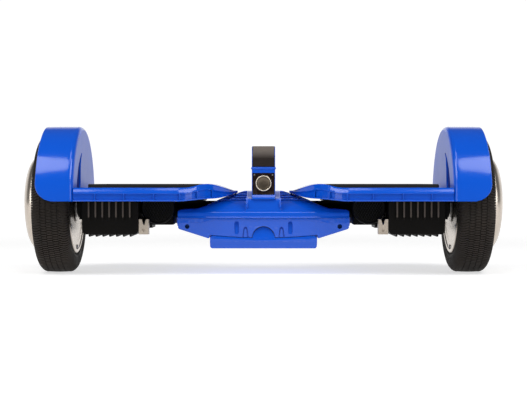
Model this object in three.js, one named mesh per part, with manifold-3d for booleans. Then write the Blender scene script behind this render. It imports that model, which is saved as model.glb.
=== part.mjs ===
// Self balancing hoverboard: two foot decks that twist against each other on a central shaft, each with a
// hub motor wheel at its outer end, and a centre housing with the battery and a carry handle.
// Millimetres. X runs along the axles, -Y is the front, Z is up, and the origin is on the ground below the
// middle.
import * as THREE from "three";
import { mergeVertices } from "three/addons/utils/BufferGeometryUtils.js";
import Module from "manifold-3d";

// Driving dimensions
const GAP = 0.3; // clearance between pieces that touch
const WALL = 3; // plastic shells
const AXLE_Z = 85;
const TWIST_Z = 74;

const WHEEL_X = 252; // middle of the tyre
const TYRE_RADIUS = 85;
const TYRE_HALF_WIDTH = 22;
const RIM_RADIUS = 62;
const RIM_HALF_WIDTH = 18;
const HUB_CAP_RADIUS = 58;
const HALF_LENGTH = 291.5; // middle to the outside of a hub cap
const AXLE_RADIUS = 6;
const BEARING_RADIUS = 11;

const FENDER_RADIUS = 94.5;
const FENDER_INNER_X = 222;
const FENDER_OUTER_X = 266.5;
const FENDER_CORNER = 21;
const BOSS_RADIUS = 18; // round seat of the axle on the deck frame

const DECK_TOP_Z = 104.5;
const DECK_BOTTOM_Z = 88.5;
const DECK_HALF_DEPTH = 93;
const DECK_TIP_X = 32;
const DECK_END_X = FENDER_INNER_X - GAP;
const CREST_X = 67;
const CREST_Z = 109;
const DECK_SKIN_Z = 100.2; // underside of the deck's skin

const PAD_INNER_X = 77;
const PAD_OUTER_X = 207;
const PAD_HALF_DEPTH = 78;
const PAD_TOP_Z = 108.7;
const PAD_BOTTOM_Z = 104.3;
const PLUNGER_XS = [118, 166];

const SHAFT_RADIUS = 8;
const SHAFT_BORE = 5;
const BUSH_RADIUS = 10.3;
const SLEEVE_RADIUS = 14;
const SLEEVE_INNER_X = 54;
const SLEEVE_OUTER_X = 146;
const CHANNEL_RADIUS = 15.5; // room for the sleeve in the centre housing

const PLATE_Z = 88.3; // underside of the deck frame's plate
const PLATE_THICKNESS = 5;
const BOX_INNER_X = 148.3; // finned control box
const BOX_OUTER_X = 215;
const BOX_HALF_DEPTH = 69.5;
const BOX_BOTTOM_Z = 49;
const FIN_COUNT = 7;
const FIN_PITCH = 8.1;
const FIN_FIRST_X = 158;
const FIN_HEIGHT = 2.5;
const FIN_THICKNESS = 3;

const SPEAKER_X = 126;
const SPEAKER_Z = 80;
const SPEAKER_RADIUS = 19.5;
const SPEAKER_FRONT_Y = -56;
const SPEAKER_BACK_Y = -44.3;
const SPEAKER_BOX = [108, 135.5, -44, -18.3, 59.5, 88]; // closed box behind the speaker
const YOKE_INNER_X = 136; // cast yoke that holds the sleeve beside the control box
const YOKE_OUTER_X = 147.7;
const YOKE_BAR_INNER_X = 141; // the bar stands back from the speaker
const YOKE_BOTTOM_Z = 49; // foot of the post at its front end
const YOKE_CRADLE_Z = 55; // underside of the cradle round the sleeve
const YOKE_BAR_Z = 58; // underside of the bar that runs back from the post
const YOKE_TOP_Z = 67;
const YOKE_FRONT_Y = -68;
const YOKE_POST_Y = -57.5; // back of the post
const YOKE_BACK_Y = 57.5; // back end of the bar
const YOKE_CRADLE_Y = 22; // half width of the cradle
const YOKE_SLOT = [139.7, 144]; // channel along the top of the bar, which splits the post
const YOKE_SLOT_Z = 61;

const HOUSING_HALF_LENGTH = 102;
const HOUSING_HALF_DEPTH = 60;
const SEAM_Z = 68;
const DOME_Z = 100.5;
const SPINE_HALF_WIDTH = 20;
const BATTERY_COVER_HALF_LENGTH = 64;
const BATTERY_COVER_BOTTOM_Z = 31.5;
const BATTERY_COVER_TOP_Z = 47.2;
const BATTERY_PACK = [-52, 52, -50, 50, 35, 62];
const BATTERY_BOARD = [-30, 30, -30, 30, 62.5, 64.1];
const PORT_Z = 57; // charge port in the rear wall
const PORT_RADIUS = 7;
const PORT_FLANGE_RADIUS = 9;
const HOUSING_SCREW_X = 91;
const HOUSING_SCREW_Z = 58;
const HOUSING_SCREW_RADIUS = 2.6;

const HANDLE_HALF_WIDTH = 14;
const HANDLE_HALF_DEPTH = 56;
const HANDLE_FOOT_Z = 90;
const HANDLE_TOP_Z = 154.4;
const HANDLE_LEG = 16;
const HANDLE_BAR = 12;
const HANDLE_CORNER = 17;
const INLAY_HALF_WIDTH = 12.8;
const INLAY_DEPTH = 2;
const GRIP_END_Z = 129;
const PANEL_BOTTOM_Z = 95.8;
const PANEL_TOP_Z = 122;
const BUTTON_Z = 109.6;
const BUTTON_RADIUS = 7.6;
const RING_RADIUS = 9.6;
const RING_BORE = 8;
const BARREL_RADIUS = 8.8; // of the button ring, through the panel

// Solids
const wasm = await Module();
wasm.setup();

function solid(geometry) {
  const bare = new THREE.BufferGeometry();
  const plain = geometry.index ? geometry.toNonIndexed() : geometry;
  bare.setAttribute("position", plain.getAttribute("position"));
  const merged = mergeVertices(bare, 1e-3);
  const mesh = new wasm.Mesh({
    numProp: 3,
    vertProperties: merged.attributes.position.array,
    triVerts: new Uint32Array(merged.index.array),
  });
  return new wasm.Manifold(mesh);
}

function geometryOf(shape) {
  const mesh = shape.getMesh();
  const geometry = new THREE.BufferGeometry();
  geometry.setAttribute("position", new THREE.BufferAttribute(mesh.vertProperties, 3));
  geometry.setIndex(new THREE.BufferAttribute(mesh.triVerts, 1));
  const flat = geometry.toNonIndexed();
  flat.computeVertexNormals();
  return flat;
}

const join = (...shapes) => shapes.reduce((a, b) => a.add(b));
const cut = (shape, ...cutters) => cutters.reduce((a, b) => a.subtract(b), shape);

function block(x0, x1, y0, y1, z0, z1) {
  const geometry = new THREE.BoxGeometry(x1 - x0, y1 - y0, z1 - z0);
  return solid(geometry.translate((x0 + x1) / 2, (y0 + y1) / 2, (z0 + z1) / 2));
}

// An outline of [x, z] points, from y0 to y1.
function alongY(points, y0, y1) {
  const shape = new THREE.Shape(points.map(([x, z]) => new THREE.Vector2(x, z)));
  const geometry = new THREE.ExtrudeGeometry(shape, { depth: y1 - y0, bevelEnabled: false });
  return solid(geometry.rotateX(Math.PI / 2).translate(0, y1, 0));
}

// An outline of [y, z] points, from x0 to x1.
function alongX(points, x0, x1) {
  const shape = new THREE.Shape(points.map(([y, z]) => new THREE.Vector2(y, z)));
  const geometry = new THREE.ExtrudeGeometry(shape, { depth: x1 - x0, bevelEnabled: false });
  const turn = new THREE.Matrix4().makeBasis(
    new THREE.Vector3(0, 1, 0),
    new THREE.Vector3(0, 0, 1),
    new THREE.Vector3(1, 0, 0),
  );
  return solid(geometry.applyMatrix4(turn).translate(x0, 0, 0));
}

// An outline of [x, y] points, from z0 to z1.
function alongZ(points, z0, z1) {
  const shape = new THREE.Shape(points.map(([x, y]) => new THREE.Vector2(x, y)));
  const geometry = new THREE.ExtrudeGeometry(shape, { depth: z1 - z0, bevelEnabled: false });
  return solid(geometry.translate(0, 0, z0));
}

function rodX(radius, x0, x1, z, segments = 24) {
  const geometry = new THREE.CylinderGeometry(radius, radius, x1 - x0, segments);
  return solid(geometry.rotateZ(Math.PI / 2).translate((x0 + x1) / 2, 0, z));
}

function rodY(radius, y0, y1, x, z, segments = 24) {
  const geometry = new THREE.CylinderGeometry(radius, radius, y1 - y0, segments);
  return solid(geometry.translate(x, (y0 + y1) / 2, z));
}

function rodZ(radius, z0, z1, x, y, segments = 16) {
  const geometry = new THREE.CylinderGeometry(radius, radius, z1 - z0, segments);
  return solid(geometry.rotateX(Math.PI / 2).translate(x, y, (z0 + z1) / 2));
}

// A turned solid: [radius, x] points, with x from the middle of the turned piece, on the axis at height z.
function turned(profile, x, z, segments = 40) {
  const points = profile.map(([radius, along]) => new THREE.Vector2(radius, along));
  const geometry = new THREE.LatheGeometry(points, segments);
  return solid(geometry.rotateZ(-Math.PI / 2).translate(x, 0, z));
}

function ring(outer, inner, x0, x1, z, segments = 32) {
  return turned([[outer, x0], [outer, x1], [inner, x1], [inner, x0], [outer, x0]], 0, z, segments);
}

// Outlines
const mirrored = (points) => [...points, ...points.map(([u, v]) => [-u, v]).reverse()];
const lineSymmetric = (points) => [...points, ...points.map(([x, y]) => [x, -y]).reverse()];

function arc(cu, cv, radius, from, to, steps) {
  return Array.from({ length: steps + 1 }, (_, i) => {
    const angle = THREE.MathUtils.degToRad(from + ((to - from) * i) / steps);
    return [cu + radius * Math.cos(angle), cv + radius * Math.sin(angle)];
  });
}

// The right half of an arch in the YZ plane, from its foot up to the middle of its top.
function archHalf(halfDepth, top, corner, foot) {
  return [[halfDepth, foot], ...arc(halfDepth - corner, top - corner, corner, 0, 90, 6)];
}

// Materials
const BLUE = { color: 0x1457dc, roughness: 0.25, metalness: 0 };
const BLACK = { color: 0x141312, roughness: 0.5, metalness: 0 };
const BLACK_METAL = { color: 0x1b1a19, roughness: 0.45, metalness: 0.8 };
const RUBBER = { color: 0x1d1a18, roughness: 0.9, metalness: 0 };
const ALUMINIUM = { color: 0xbfb5a8, roughness: 0.4, metalness: 1 };
const STEEL = { color: 0x9a9a9c, roughness: 0.3, metalness: 1 };
const BOARD = { color: 0x1c5a34, roughness: 0.6, metalness: 0 };
const COPPER = { color: 0xa5602e, roughness: 0.5, metalness: 1 };
const BRONZE = { color: 0x8c6b3a, roughness: 0.5, metalness: 1 };
const BUTTON = { color: 0x4a423a, roughness: 0.35, metalness: 0.6 };

function piece(group, name, shape, look) {
  const mesh = new THREE.Mesh(geometryOf(shape), new THREE.MeshStandardMaterial(look));
  mesh.name = name;
  group.add(mesh);
}

// Wheel pieces
function tyreShape() {
  const half = [
    [RIM_RADIUS + GAP, RIM_HALF_WIDTH],
    [67, TYRE_HALF_WIDTH],
    [76, TYRE_HALF_WIDTH],
    [83, TYRE_HALF_WIDTH - 6],
    [TYRE_RADIUS, TYRE_HALF_WIDTH - 13],
  ];
  const otherHalf = half.map(([radius, along]) => [radius, -along]);
  return turned([...otherHalf, ...half.reverse(), otherHalf[0]], WHEEL_X, AXLE_Z);
}

function rimShape() {
  const wall = RIM_HALF_WIDTH - 4;
  const seat = BEARING_RADIUS + GAP;
  const profile = [
    [RIM_RADIUS, -RIM_HALF_WIDTH],
    [RIM_RADIUS, RIM_HALF_WIDTH],
    [seat, RIM_HALF_WIDTH],
    [seat, wall - 2],
    [seat + 5, wall - 2],
    [seat + 5, wall],
    [RIM_RADIUS - 5, wall],
    [RIM_RADIUS - 5, -RIM_HALF_WIDTH],
    [RIM_RADIUS, -RIM_HALF_WIDTH],
  ];
  return turned(profile, WHEEL_X, AXLE_Z);
}

function hubDiscShape() {
  const seat = BEARING_RADIUS + GAP;
  const outer = -TYRE_HALF_WIDTH + 0.5;
  const inner = -RIM_HALF_WIDTH - GAP;
  const profile = [
    [RIM_RADIUS - 0.5, outer],
    [RIM_RADIUS - 0.5, inner],
    [seat + 5, inner],
    [seat + 5, inner + 5],
    [seat, inner + 5],
    [seat, outer],
    [RIM_RADIUS - 0.5, outer],
  ];
  return turned(profile, WHEEL_X, AXLE_Z);
}

function hubCapShape() {
  const tip = HALF_LENGTH - WHEEL_X;
  const foot = RIM_HALF_WIDTH + GAP;
  const profile = [
    [0, tip - 2.7],
    [34, tip - 5.7],
    [49, tip - 12.5],
    [HUB_CAP_RADIUS - WALL, foot],
    [HUB_CAP_RADIUS, foot],
    [HUB_CAP_RADIUS, tip - 19],
    [51, tip - 10.3],
    [35, tip - 3],
    [20, tip - 0.5],
    [0, tip],
  ];
  return turned(profile, WHEEL_X, AXLE_Z, 36);
}

function wheelPieces(group, side) {
  const bearing = (x) => ring(BEARING_RADIUS, AXLE_RADIUS + GAP, x, x + 6, AXLE_Z, 16);
  const magnets = [RIM_RADIUS - 5.3, RIM_RADIUS - 8.5, WHEEL_X - 9.5, WHEEL_X + 9.5];
  piece(group, side + "_tyre", tyreShape(), RUBBER);
  piece(group, side + "_rim", rimShape(), ALUMINIUM);
  piece(group, side + "_magnet_ring", ring(...magnets, AXLE_Z), STEEL);
  piece(group, side + "_hub_disc", hubDiscShape(), ALUMINIUM);
  piece(group, side + "_hub_cap", hubCapShape(), ALUMINIUM);
  piece(group, side + "_inner_bearing", bearing(WHEEL_X - TYRE_HALF_WIDTH + 1), STEEL);
  piece(group, side + "_outer_bearing", bearing(WHEEL_X + RIM_HALF_WIDTH - 6), STEEL);
}

// Deck pieces
function fenderShape() {
  const arch = (radius) => {
    const foot = THREE.MathUtils.radToDeg(Math.asin((DECK_BOTTOM_Z - AXLE_Z) / radius));
    return arc(0, AXLE_Z, radius, foot, 180 - foot, 36);
  };
  const inside = arch(FENDER_RADIUS - WALL);
  const room = [[inside[0][0], 0], ...inside, [inside.at(-1)[0], 0]];
  const cornerX = FENDER_OUTER_X - FENDER_CORNER;
  const cornerZ = DECK_BOTTOM_Z + FENDER_CORNER;
  const corner = [
    [FENDER_OUTER_X + 1, DECK_BOTTOM_Z - 1],
    [FENDER_OUTER_X + 1, cornerZ],
    ...arc(cornerX, cornerZ, FENDER_CORNER, 0, -90, 8),
    [cornerX, DECK_BOTTOM_Z - 1],
  ];
  return cut(
    alongX(arch(FENDER_RADIUS), FENDER_INNER_X, FENDER_OUTER_X),
    alongX(room, FENDER_INNER_X + WALL, FENDER_OUTER_X + 1),
    rodX(BOSS_RADIUS + 0.5, FENDER_INNER_X - 1, FENDER_INNER_X + 5, AXLE_Z),
    alongY(corner, -100, 100),
  );
}

function deckCoverShape() {
  const plan = [
    [DECK_TIP_X, 6], [36, 20], [45, 38], [60, 62], [75, 78], [88, 88], [100, 92.5],
    [110, DECK_HALF_DEPTH], [DECK_END_X, DECK_HALF_DEPTH],
  ];
  const room = [[40, 20], [47, 34], [62, 58], [77, 74], [89, 84.5], [101, 89.5], [DECK_END_X + 1, 90]];
  const side = [
    [DECK_TIP_X, 99.3], [38, 101], [48, 104.6], [58, 107.8], [CREST_X, CREST_Z], [76, 108.2],
    [90, DECK_TOP_Z], [DECK_END_X, DECK_TOP_Z], [DECK_END_X, DECK_BOTTOM_Z], [95, DECK_BOTTOM_Z],
    [76, 90.6], [68, 91.3], [58, 91.8], [45, 94.6], [36, 96.9], [DECK_TIP_X, 97.6],
  ];
  const ceiling = [
    [38, 97.5], [48, 101.2], [56, 103.5], [66, 103.5], [74, DECK_SKIN_Z],
    [DECK_END_X + 1, DECK_SKIN_Z], [DECK_END_X + 1, 80], [38, 80],
  ];
  const shell = alongY(side, -100, 100).intersect(alongZ(lineSymmetric(plan), 80, 120));
  const inside = alongY(ceiling, -100, 100).intersect(alongZ(lineSymmetric(room), 70, 120));
  const edge = PAD_HALF_DEPTH + 0.5;
  const pocket = block(PAD_INNER_X - 0.5, PAD_OUTER_X + 0.5, -edge, edge, DECK_SKIN_Z + 2.5, 120);
  const holes = PLUNGER_XS.map((x) => rodZ(6, 90, 110, x, 0));
  const seat = rodX(BOSS_RADIUS + GAP, DECK_END_X - 2, DECK_END_X + 1, AXLE_Z);
  return cut(shell, inside, pocket, seat, ...holes);
}

function footPadShape() {
  const plungers = PLUNGER_XS.map((x) => rodZ(5, 97.2, PAD_BOTTOM_Z + 1, x, 0));
  const top = block(PAD_INNER_X, PAD_OUTER_X, -PAD_HALF_DEPTH, PAD_HALF_DEPTH, PAD_BOTTOM_Z, PAD_TOP_Z);
  return join(top, ...plungers);
}

function deckFrameShape() {
  const plateTop = PLATE_Z + PLATE_THICKNESS;
  const body = join(
    rodX(SLEEVE_RADIUS, SLEEVE_INNER_X, SLEEVE_OUTER_X, TWIST_Z),
    block(72, 108.5, -9, 9, 80, PLATE_Z + 1),
    block(108, 218, -18, 18, TWIST_Z, PLATE_Z + 1),
    block(72, 147, -40, 40, PLATE_Z, plateTop),
    block(146, 218, -74, 74, PLATE_Z, plateTop),
    block(216, DECK_END_X, -45, 45, 66, 99),
    rodX(BOSS_RADIUS, DECK_END_X - 1, FENDER_INNER_X + 7, AXLE_Z),
  );
  return cut(
    body,
    rodX(BUSH_RADIUS + GAP, SLEEVE_INNER_X - 1, 140, TWIST_Z),
    rodX(AXLE_RADIUS + GAP, 198, 231, AXLE_Z),
  );
}

function controlBoxShape() {
  const width = BOX_OUTER_X - BOX_INNER_X;
  const middle = (BOX_INNER_X + BOX_OUTER_X) / 2;
  const top = PLATE_Z - GAP;
  const corner = 5;
  const half = [[width / 2, top], ...arc(width / 2 - corner, BOX_BOTTOM_Z + corner, corner, 0, -90, 4)];
  const outline = mirrored(half).map(([x, z]) => [x + middle, z]);
  const fins = Array.from({ length: FIN_COUNT }, (_, i) => {
    const x = FIN_FIRST_X + i * FIN_PITCH;
    const reach = BOX_HALF_DEPTH + FIN_HEIGHT;
    return block(x - FIN_THICKNESS / 2, x + FIN_THICKNESS / 2, -reach, reach, BOX_BOTTOM_Z - WALL, top);
  });
  const inner = BOX_HALF_DEPTH - WALL;
  return cut(
    join(alongY(outline, -BOX_HALF_DEPTH, BOX_HALF_DEPTH), ...fins),
    block(BOX_INNER_X + WALL, BOX_OUTER_X - WALL, -inner, inner, BOX_BOTTOM_Z + WALL, top + 1),
    block(BOX_INNER_X - 1, BOX_OUTER_X + 1, -20, 20, TWIST_Z - 2, top + 1),
  );
}

function shaftClampShape() {
  const across = (y0, y1, z0) => block(YOKE_INNER_X, YOKE_OUTER_X, y0, y1, z0, YOKE_TOP_Z);
  return cut(
    join(
      across(YOKE_FRONT_Y, YOKE_POST_Y, YOKE_BOTTOM_Z),
      block(YOKE_BAR_INNER_X, YOKE_OUTER_X, YOKE_POST_Y - 1, YOKE_BACK_Y, YOKE_BAR_Z, YOKE_TOP_Z),
      across(-YOKE_CRADLE_Y, YOKE_CRADLE_Y, YOKE_CRADLE_Z),
    ),
    rodX(SLEEVE_RADIUS + GAP, YOKE_INNER_X - 1, YOKE_OUTER_X + 1, TWIST_Z),
    block(...YOKE_SLOT, YOKE_FRONT_Y - 2, YOKE_BACK_Y + 2, YOKE_SLOT_Z, YOKE_TOP_Z + 3),
  );
}

function deckPieces(group, side) {
  const speaker = rodY(SPEAKER_RADIUS, SPEAKER_FRONT_Y, SPEAKER_BACK_Y, SPEAKER_X, SPEAKER_Z, 32);
  const controller = block(152, 211, -60, 60, BOX_BOTTOM_Z + WALL + GAP, BOX_BOTTOM_Z + WALL + 2);
  const sensorZ = PLATE_Z + PLATE_THICKNESS + GAP;
  const stator = ring(52, AXLE_RADIUS + GAP, WHEEL_X - 9, WHEEL_X + 9, AXLE_Z);
  piece(group, side + "_deck_frame", deckFrameShape(), BLACK_METAL);
  piece(group, side + "_deck_cover", deckCoverShape(), BLUE);
  piece(group, side + "_fender", fenderShape(), BLUE);
  piece(group, side + "_foot_pad", footPadShape(), RUBBER);
  piece(group, side + "_foot_sensor_board", block(105, 180, -22, 22, sensorZ, sensorZ + 1.6), BOARD);
  piece(group, side + "_control_box", controlBoxShape(), BLACK_METAL);
  piece(group, side + "_controller_board", controller, BOARD);
  piece(group, side + "_speaker", speaker, BLACK);
  piece(group, side + "_speaker_box", block(...SPEAKER_BOX), BLACK);
  piece(group, side + "_shaft_clamp", shaftClampShape(), ALUMINIUM);
  piece(group, side + "_axle", rodX(AXLE_RADIUS, 199, WHEEL_X + 17.5, AXLE_Z), STEEL);
  piece(group, side + "_stator", stator, COPPER);
}

// Centre section
function channels(z0, z1) {
  return [-1, 1].flatMap((sign) => {
    const near = sign * (SLEEVE_INNER_X - GAP);
    const far = sign * (HOUSING_HALF_LENGTH + 1);
    const [x0, x1] = [Math.min(near, far), Math.max(near, far)];
    const trough = block(x0, x1, -CHANNEL_RADIUS, CHANNEL_RADIUS, TWIST_Z, 120);
    const slab = block(x0 - 1, x1 + 1, -60, 60, z0, z1);
    return [join(rodX(CHANNEL_RADIUS, x0, x1, TWIST_Z), trough).intersect(slab)];
  });
}

const screwHoles = () =>
  [-1, 1].flatMap((side) => [
    rodY(HOUSING_SCREW_RADIUS + GAP, -61, -49, side * HOUSING_SCREW_X, HOUSING_SCREW_Z, 16),
    rodY(HOUSING_SCREW_RADIUS + GAP, 49, 61, side * HOUSING_SCREW_X, HOUSING_SCREW_Z, 16),
  ]);

function housingUpperShape() {
  const floor = SEAM_Z + GAP / 2;
  const outline = [
    [HOUSING_HALF_LENGTH, floor], [HOUSING_HALF_LENGTH, 77.5], [100, 79], [75, 80], [64, 85],
    [55, 88.5], [45, 91.5], [29, 96.6], [23, DOME_Z],
  ];
  const roof = [
    [HOUSING_HALF_DEPTH, floor], [HOUSING_HALF_DEPTH, 76], [50, 80.6], [40, 85.2], [28, 89.6], [18, 93.6],
    [6, DOME_Z],
  ];
  const spine = [
    [HOUSING_HALF_DEPTH + 4, floor], [HOUSING_HALF_DEPTH + 4, 78], [61, 87], [57, 90.2], [40, 93.5],
    [20, 98.5], [6, DOME_Z],
  ];
  const insideOutline = [
    [99, 60], [99, 76], [74, 76.8], [63, 81.8], [54, 85.3], [44, 88.3], [28, 93.5], [21, 97],
  ];
  const insideRoof = [[57, 60], [57, 73], [48, 78], [38, 82.4], [27, 86.5], [17, 90.5], [5, 97]];
  const dome = alongY(mirrored(outline), -70, 70).intersect(alongX(mirrored(roof), -110, 110));
  const inside = alongY(mirrored(insideOutline), -70, 70).intersect(alongX(mirrored(insideRoof), -110, 110));
  const ribs = [-1, 1].map((side) => block(side * 47.5 - 2.5, side * 47.5 + 2.5, -20, 20, 66, 88.5));
  const seats = [-1, 1].map((side) =>
    block(-14.5, 14.5, side * 48 - 8.5, side * 48 + 8.5, HANDLE_FOOT_Z, 110),
  );
  const shell = cut(join(dome, alongX(mirrored(spine), -SPINE_HALF_WIDTH, SPINE_HALF_WIDTH)), inside);
  return cut(
    join(shell, ...ribs),
    ...channels(SEAM_Z - 8, 120),
    ...seats,
    rodX(SHAFT_RADIUS + GAP, -60, 60, TWIST_Z),
  );
}

function housingLowerShape() {
  const top = SEAM_Z - GAP / 2;
  const outline = [
    [BATTERY_COVER_HALF_LENGTH + GAP, BATTERY_COVER_TOP_Z + GAP], [BATTERY_COVER_HALF_LENGTH + GAP, 43.6],
    [66, 43.6], [100.5, 54.6], [HOUSING_HALF_LENGTH, 56], [HOUSING_HALF_LENGTH, top],
  ];
  const section = [[55, 43.6], [HOUSING_HALF_DEPTH, 50], [HOUSING_HALF_DEPTH, top]];
  const collars = [-1, 1].map((side) => {
    const near = side * (HOUSING_HALF_LENGTH - 0.5);
    const far = side * (HOUSING_HALF_LENGTH + 4.5);
    const whole = rodX(17.5, Math.min(near, far), Math.max(near, far), TWIST_Z);
    return whole.intersect(block(-120, 120, -30, 30, 40, top));
  });
  const depth = HOUSING_HALF_DEPTH - 3.5;
  return cut(
    join(alongY(mirrored(outline), -70, 70).intersect(alongX(mirrored(section), -110, 110)), ...collars),
    block(-61, 61, -depth, depth, 40, 70),
    block(-99, 99, -depth, depth, 58.3, 70),
    rodX(CHANNEL_RADIUS, -110, 110, TWIST_Z),
    rodY(PORT_RADIUS + GAP, HOUSING_HALF_DEPTH - 10, HOUSING_HALF_DEPTH + 1, 0, PORT_Z),
    ...screwHoles(),
  );
}

function batteryCoverShape() {
  const half = BATTERY_COVER_HALF_LENGTH;
  const low = BATTERY_COVER_BOTTOM_Z;
  const outline = [[half, BATTERY_COVER_TOP_Z], ...arc(half - 3, low + 3, 3, 0, -90, 3)];
  const section = [[57, BATTERY_COVER_TOP_Z], [57, 40], [52, low]];
  return cut(
    alongY(mirrored(outline), -60, 60).intersect(alongX(mirrored(section), -70, 70)),
    block(-half + WALL, half - WALL, -53, 53, low + WALL, 60),
  );
}

function handleFrameShape() {
  const outer = archHalf(HANDLE_HALF_DEPTH, HANDLE_TOP_Z, HANDLE_CORNER, HANDLE_FOOT_Z + GAP);
  const inner = archHalf(HANDLE_HALF_DEPTH - HANDLE_LEG, HANDLE_TOP_Z - HANDLE_BAR, 10, 0);
  const front = -HANDLE_HALF_DEPTH;
  return cut(
    alongX(mirrored(outer), -HANDLE_HALF_WIDTH, HANDLE_HALF_WIDTH),
    alongX(mirrored(inner), -20, 20),
    gripBand(INLAY_HALF_WIDTH, 0, INLAY_DEPTH, GRIP_END_Z),
    block(-INLAY_HALF_WIDTH, INLAY_HALF_WIDTH, front - 1, front + INLAY_DEPTH, PANEL_BOTTOM_Z, PANEL_TOP_Z),
    rodY(BARREL_RADIUS + GAP, front, front + 13, 0, BUTTON_Z),
  );
}

// The band that wraps the top of the handle, from depth start to depth end below its outline.
function gripBand(halfWidth, start, end, endZ) {
  const outline = (inset) =>
    mirrored(archHalf(HANDLE_HALF_DEPTH - inset, HANDLE_TOP_Z - inset, HANDLE_CORNER - inset, 0));
  const band = cut(alongX(outline(start), -halfWidth, halfWidth), alongX(outline(end), -20, 20));
  return band.intersect(block(-20, 20, -70, 70, endZ, 170));
}

function switchPanelShape(screwX, screwZ) {
  const half = INLAY_HALF_WIDTH - GAP;
  const front = -HANDLE_HALF_DEPTH + 0.1;
  const back = front + INLAY_DEPTH - GAP;
  return cut(
    block(-half, half, front, back, PANEL_BOTTOM_Z + GAP, PANEL_TOP_Z - GAP),
    rodY(BARREL_RADIUS + GAP, front - 1, back + 1, 0, BUTTON_Z),
    rodY(1.2, front - 1, back + 1, -screwX, screwZ, 12),
    rodY(1.2, front - 1, back + 1, screwX, screwZ, 12),
  );
}

function buttonRingShape(front) {
  const flange = rodY(RING_RADIUS, front - 1.6, front - 0.2, 0, BUTTON_Z);
  const barrel = rodY(BARREL_RADIUS, front - 0.5, front + 10, 0, BUTTON_Z);
  return cut(join(flange, barrel), rodY(RING_BORE, front - 2, front + 11, 0, BUTTON_Z));
}

function centrePieces(group) {
  const front = -HANDLE_HALF_DEPTH;
  const screwX = 10.8;
  const screwZ = 119.6;
  const shaft = ring(SHAFT_RADIUS, SHAFT_BORE, -139, 139, TWIST_Z, 24);
  const portFlange = rodY(PORT_FLANGE_RADIUS, HOUSING_HALF_DEPTH + GAP, HOUSING_HALF_DEPTH + 2, 0, PORT_Z);
  const portBody = rodY(PORT_RADIUS, HOUSING_HALF_DEPTH - 10, HOUSING_HALF_DEPTH + 0.5, 0, PORT_Z);
  const port = join(portFlange, portBody);
  piece(group, "housing_upper", housingUpperShape(), BLUE);
  piece(group, "housing_lower", housingLowerShape(), BLUE);
  piece(group, "battery_cover", batteryCoverShape(), BLUE);
  piece(group, "battery_pack", block(...BATTERY_PACK), BLACK);
  piece(group, "battery_board", block(...BATTERY_BOARD), BOARD);
  piece(group, "central_shaft", shaft, STEEL);
  piece(group, "handle_frame", handleFrameShape(), BLUE);
  const grip = gripBand(INLAY_HALF_WIDTH - GAP, 0, INLAY_DEPTH - GAP, GRIP_END_Z + GAP);
  piece(group, "handle_grip", grip, BLACK);
  piece(group, "switch_panel", switchPanelShape(screwX, screwZ), BLACK);
  piece(group, "button_ring", buttonRingShape(front), STEEL);
  piece(group, "power_button", rodY(BUTTON_RADIUS, front - 1.2, front + 6, 0, BUTTON_Z), BUTTON);
  piece(group, "switch_body", rodY(BUTTON_RADIUS, front + 8, front + 12.5, 0, BUTTON_Z), BLACK);
  piece(group, "charge_port", port, BLACK);
  for (const [side, sign] of [["left", -1], ["right", 1]]) {
    const bush = ring(BUSH_RADIUS, SHAFT_RADIUS + GAP, 56, 138, TWIST_Z, 24);
    const half = new THREE.Group();
    half.scale.x = sign;
    group.add(half);
    piece(half, side + "_twist_bush", bush, BRONZE);
    piece(half, "panel_screw_" + side, rodY(0.9, front - 0.1, front + 1.6, screwX, screwZ, 10), STEEL);
    for (const [place, way] of [["front", -1], ["rear", 1]]) {
      const head = [way * (HOUSING_HALF_DEPTH - 2), way * (HOUSING_HALF_DEPTH - 0.5)].sort((a, b) => a - b);
      const shank = [way * (HOUSING_HALF_DEPTH - 10), way * (HOUSING_HALF_DEPTH - 1.5)].sort((a, b) => a - b);
      const screw = join(
        rodY(HOUSING_SCREW_RADIUS, ...head, HOUSING_SCREW_X, HOUSING_SCREW_Z, 16),
        rodY(1.5, ...shank, HOUSING_SCREW_X, HOUSING_SCREW_Z, 12),
      );
      piece(half, "housing_screw_" + place + "_" + side, screw, STEEL);
    }
  }
}

// Assembly: the left half is the right half mirrored.
const hoverboard = new THREE.Group();
hoverboard.name = "hoverboard";
centrePieces(hoverboard);
for (const [side, sign] of [["left", -1], ["right", 1]]) {
  const half = new THREE.Group();
  half.scale.x = sign;
  hoverboard.add(half);
  deckPieces(half, side);
  wheelPieces(half, side);
}

export default hoverboard;
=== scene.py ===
"""Self balancing hoverboard: the visual model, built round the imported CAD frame.

Shapes are worked out in millimetres from the boxes of the CAD nodes and turned into metres in new_piece.
The right half is built once and mirrored for the left half.
"""

import math

import bmesh
import bpy
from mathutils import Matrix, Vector


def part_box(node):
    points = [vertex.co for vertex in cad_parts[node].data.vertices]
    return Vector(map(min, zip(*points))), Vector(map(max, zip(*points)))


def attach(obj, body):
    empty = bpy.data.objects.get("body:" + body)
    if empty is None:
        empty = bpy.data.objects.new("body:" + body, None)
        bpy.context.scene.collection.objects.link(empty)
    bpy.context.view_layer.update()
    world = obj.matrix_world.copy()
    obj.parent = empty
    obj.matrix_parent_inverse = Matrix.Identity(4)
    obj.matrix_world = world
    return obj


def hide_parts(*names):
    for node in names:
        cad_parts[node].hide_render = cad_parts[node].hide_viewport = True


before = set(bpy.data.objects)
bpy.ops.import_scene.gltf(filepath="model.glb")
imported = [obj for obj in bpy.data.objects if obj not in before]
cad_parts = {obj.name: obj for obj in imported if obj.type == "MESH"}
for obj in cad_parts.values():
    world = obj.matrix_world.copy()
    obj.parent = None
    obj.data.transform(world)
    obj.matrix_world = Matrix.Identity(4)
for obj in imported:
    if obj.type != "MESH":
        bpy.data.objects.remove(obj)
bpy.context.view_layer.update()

MM = 0.001
TAU = 2 * math.pi
WELD = 1e-6
SIDES = (("left", -1), ("right", 1))
WAYS = (-1, 1)
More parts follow.
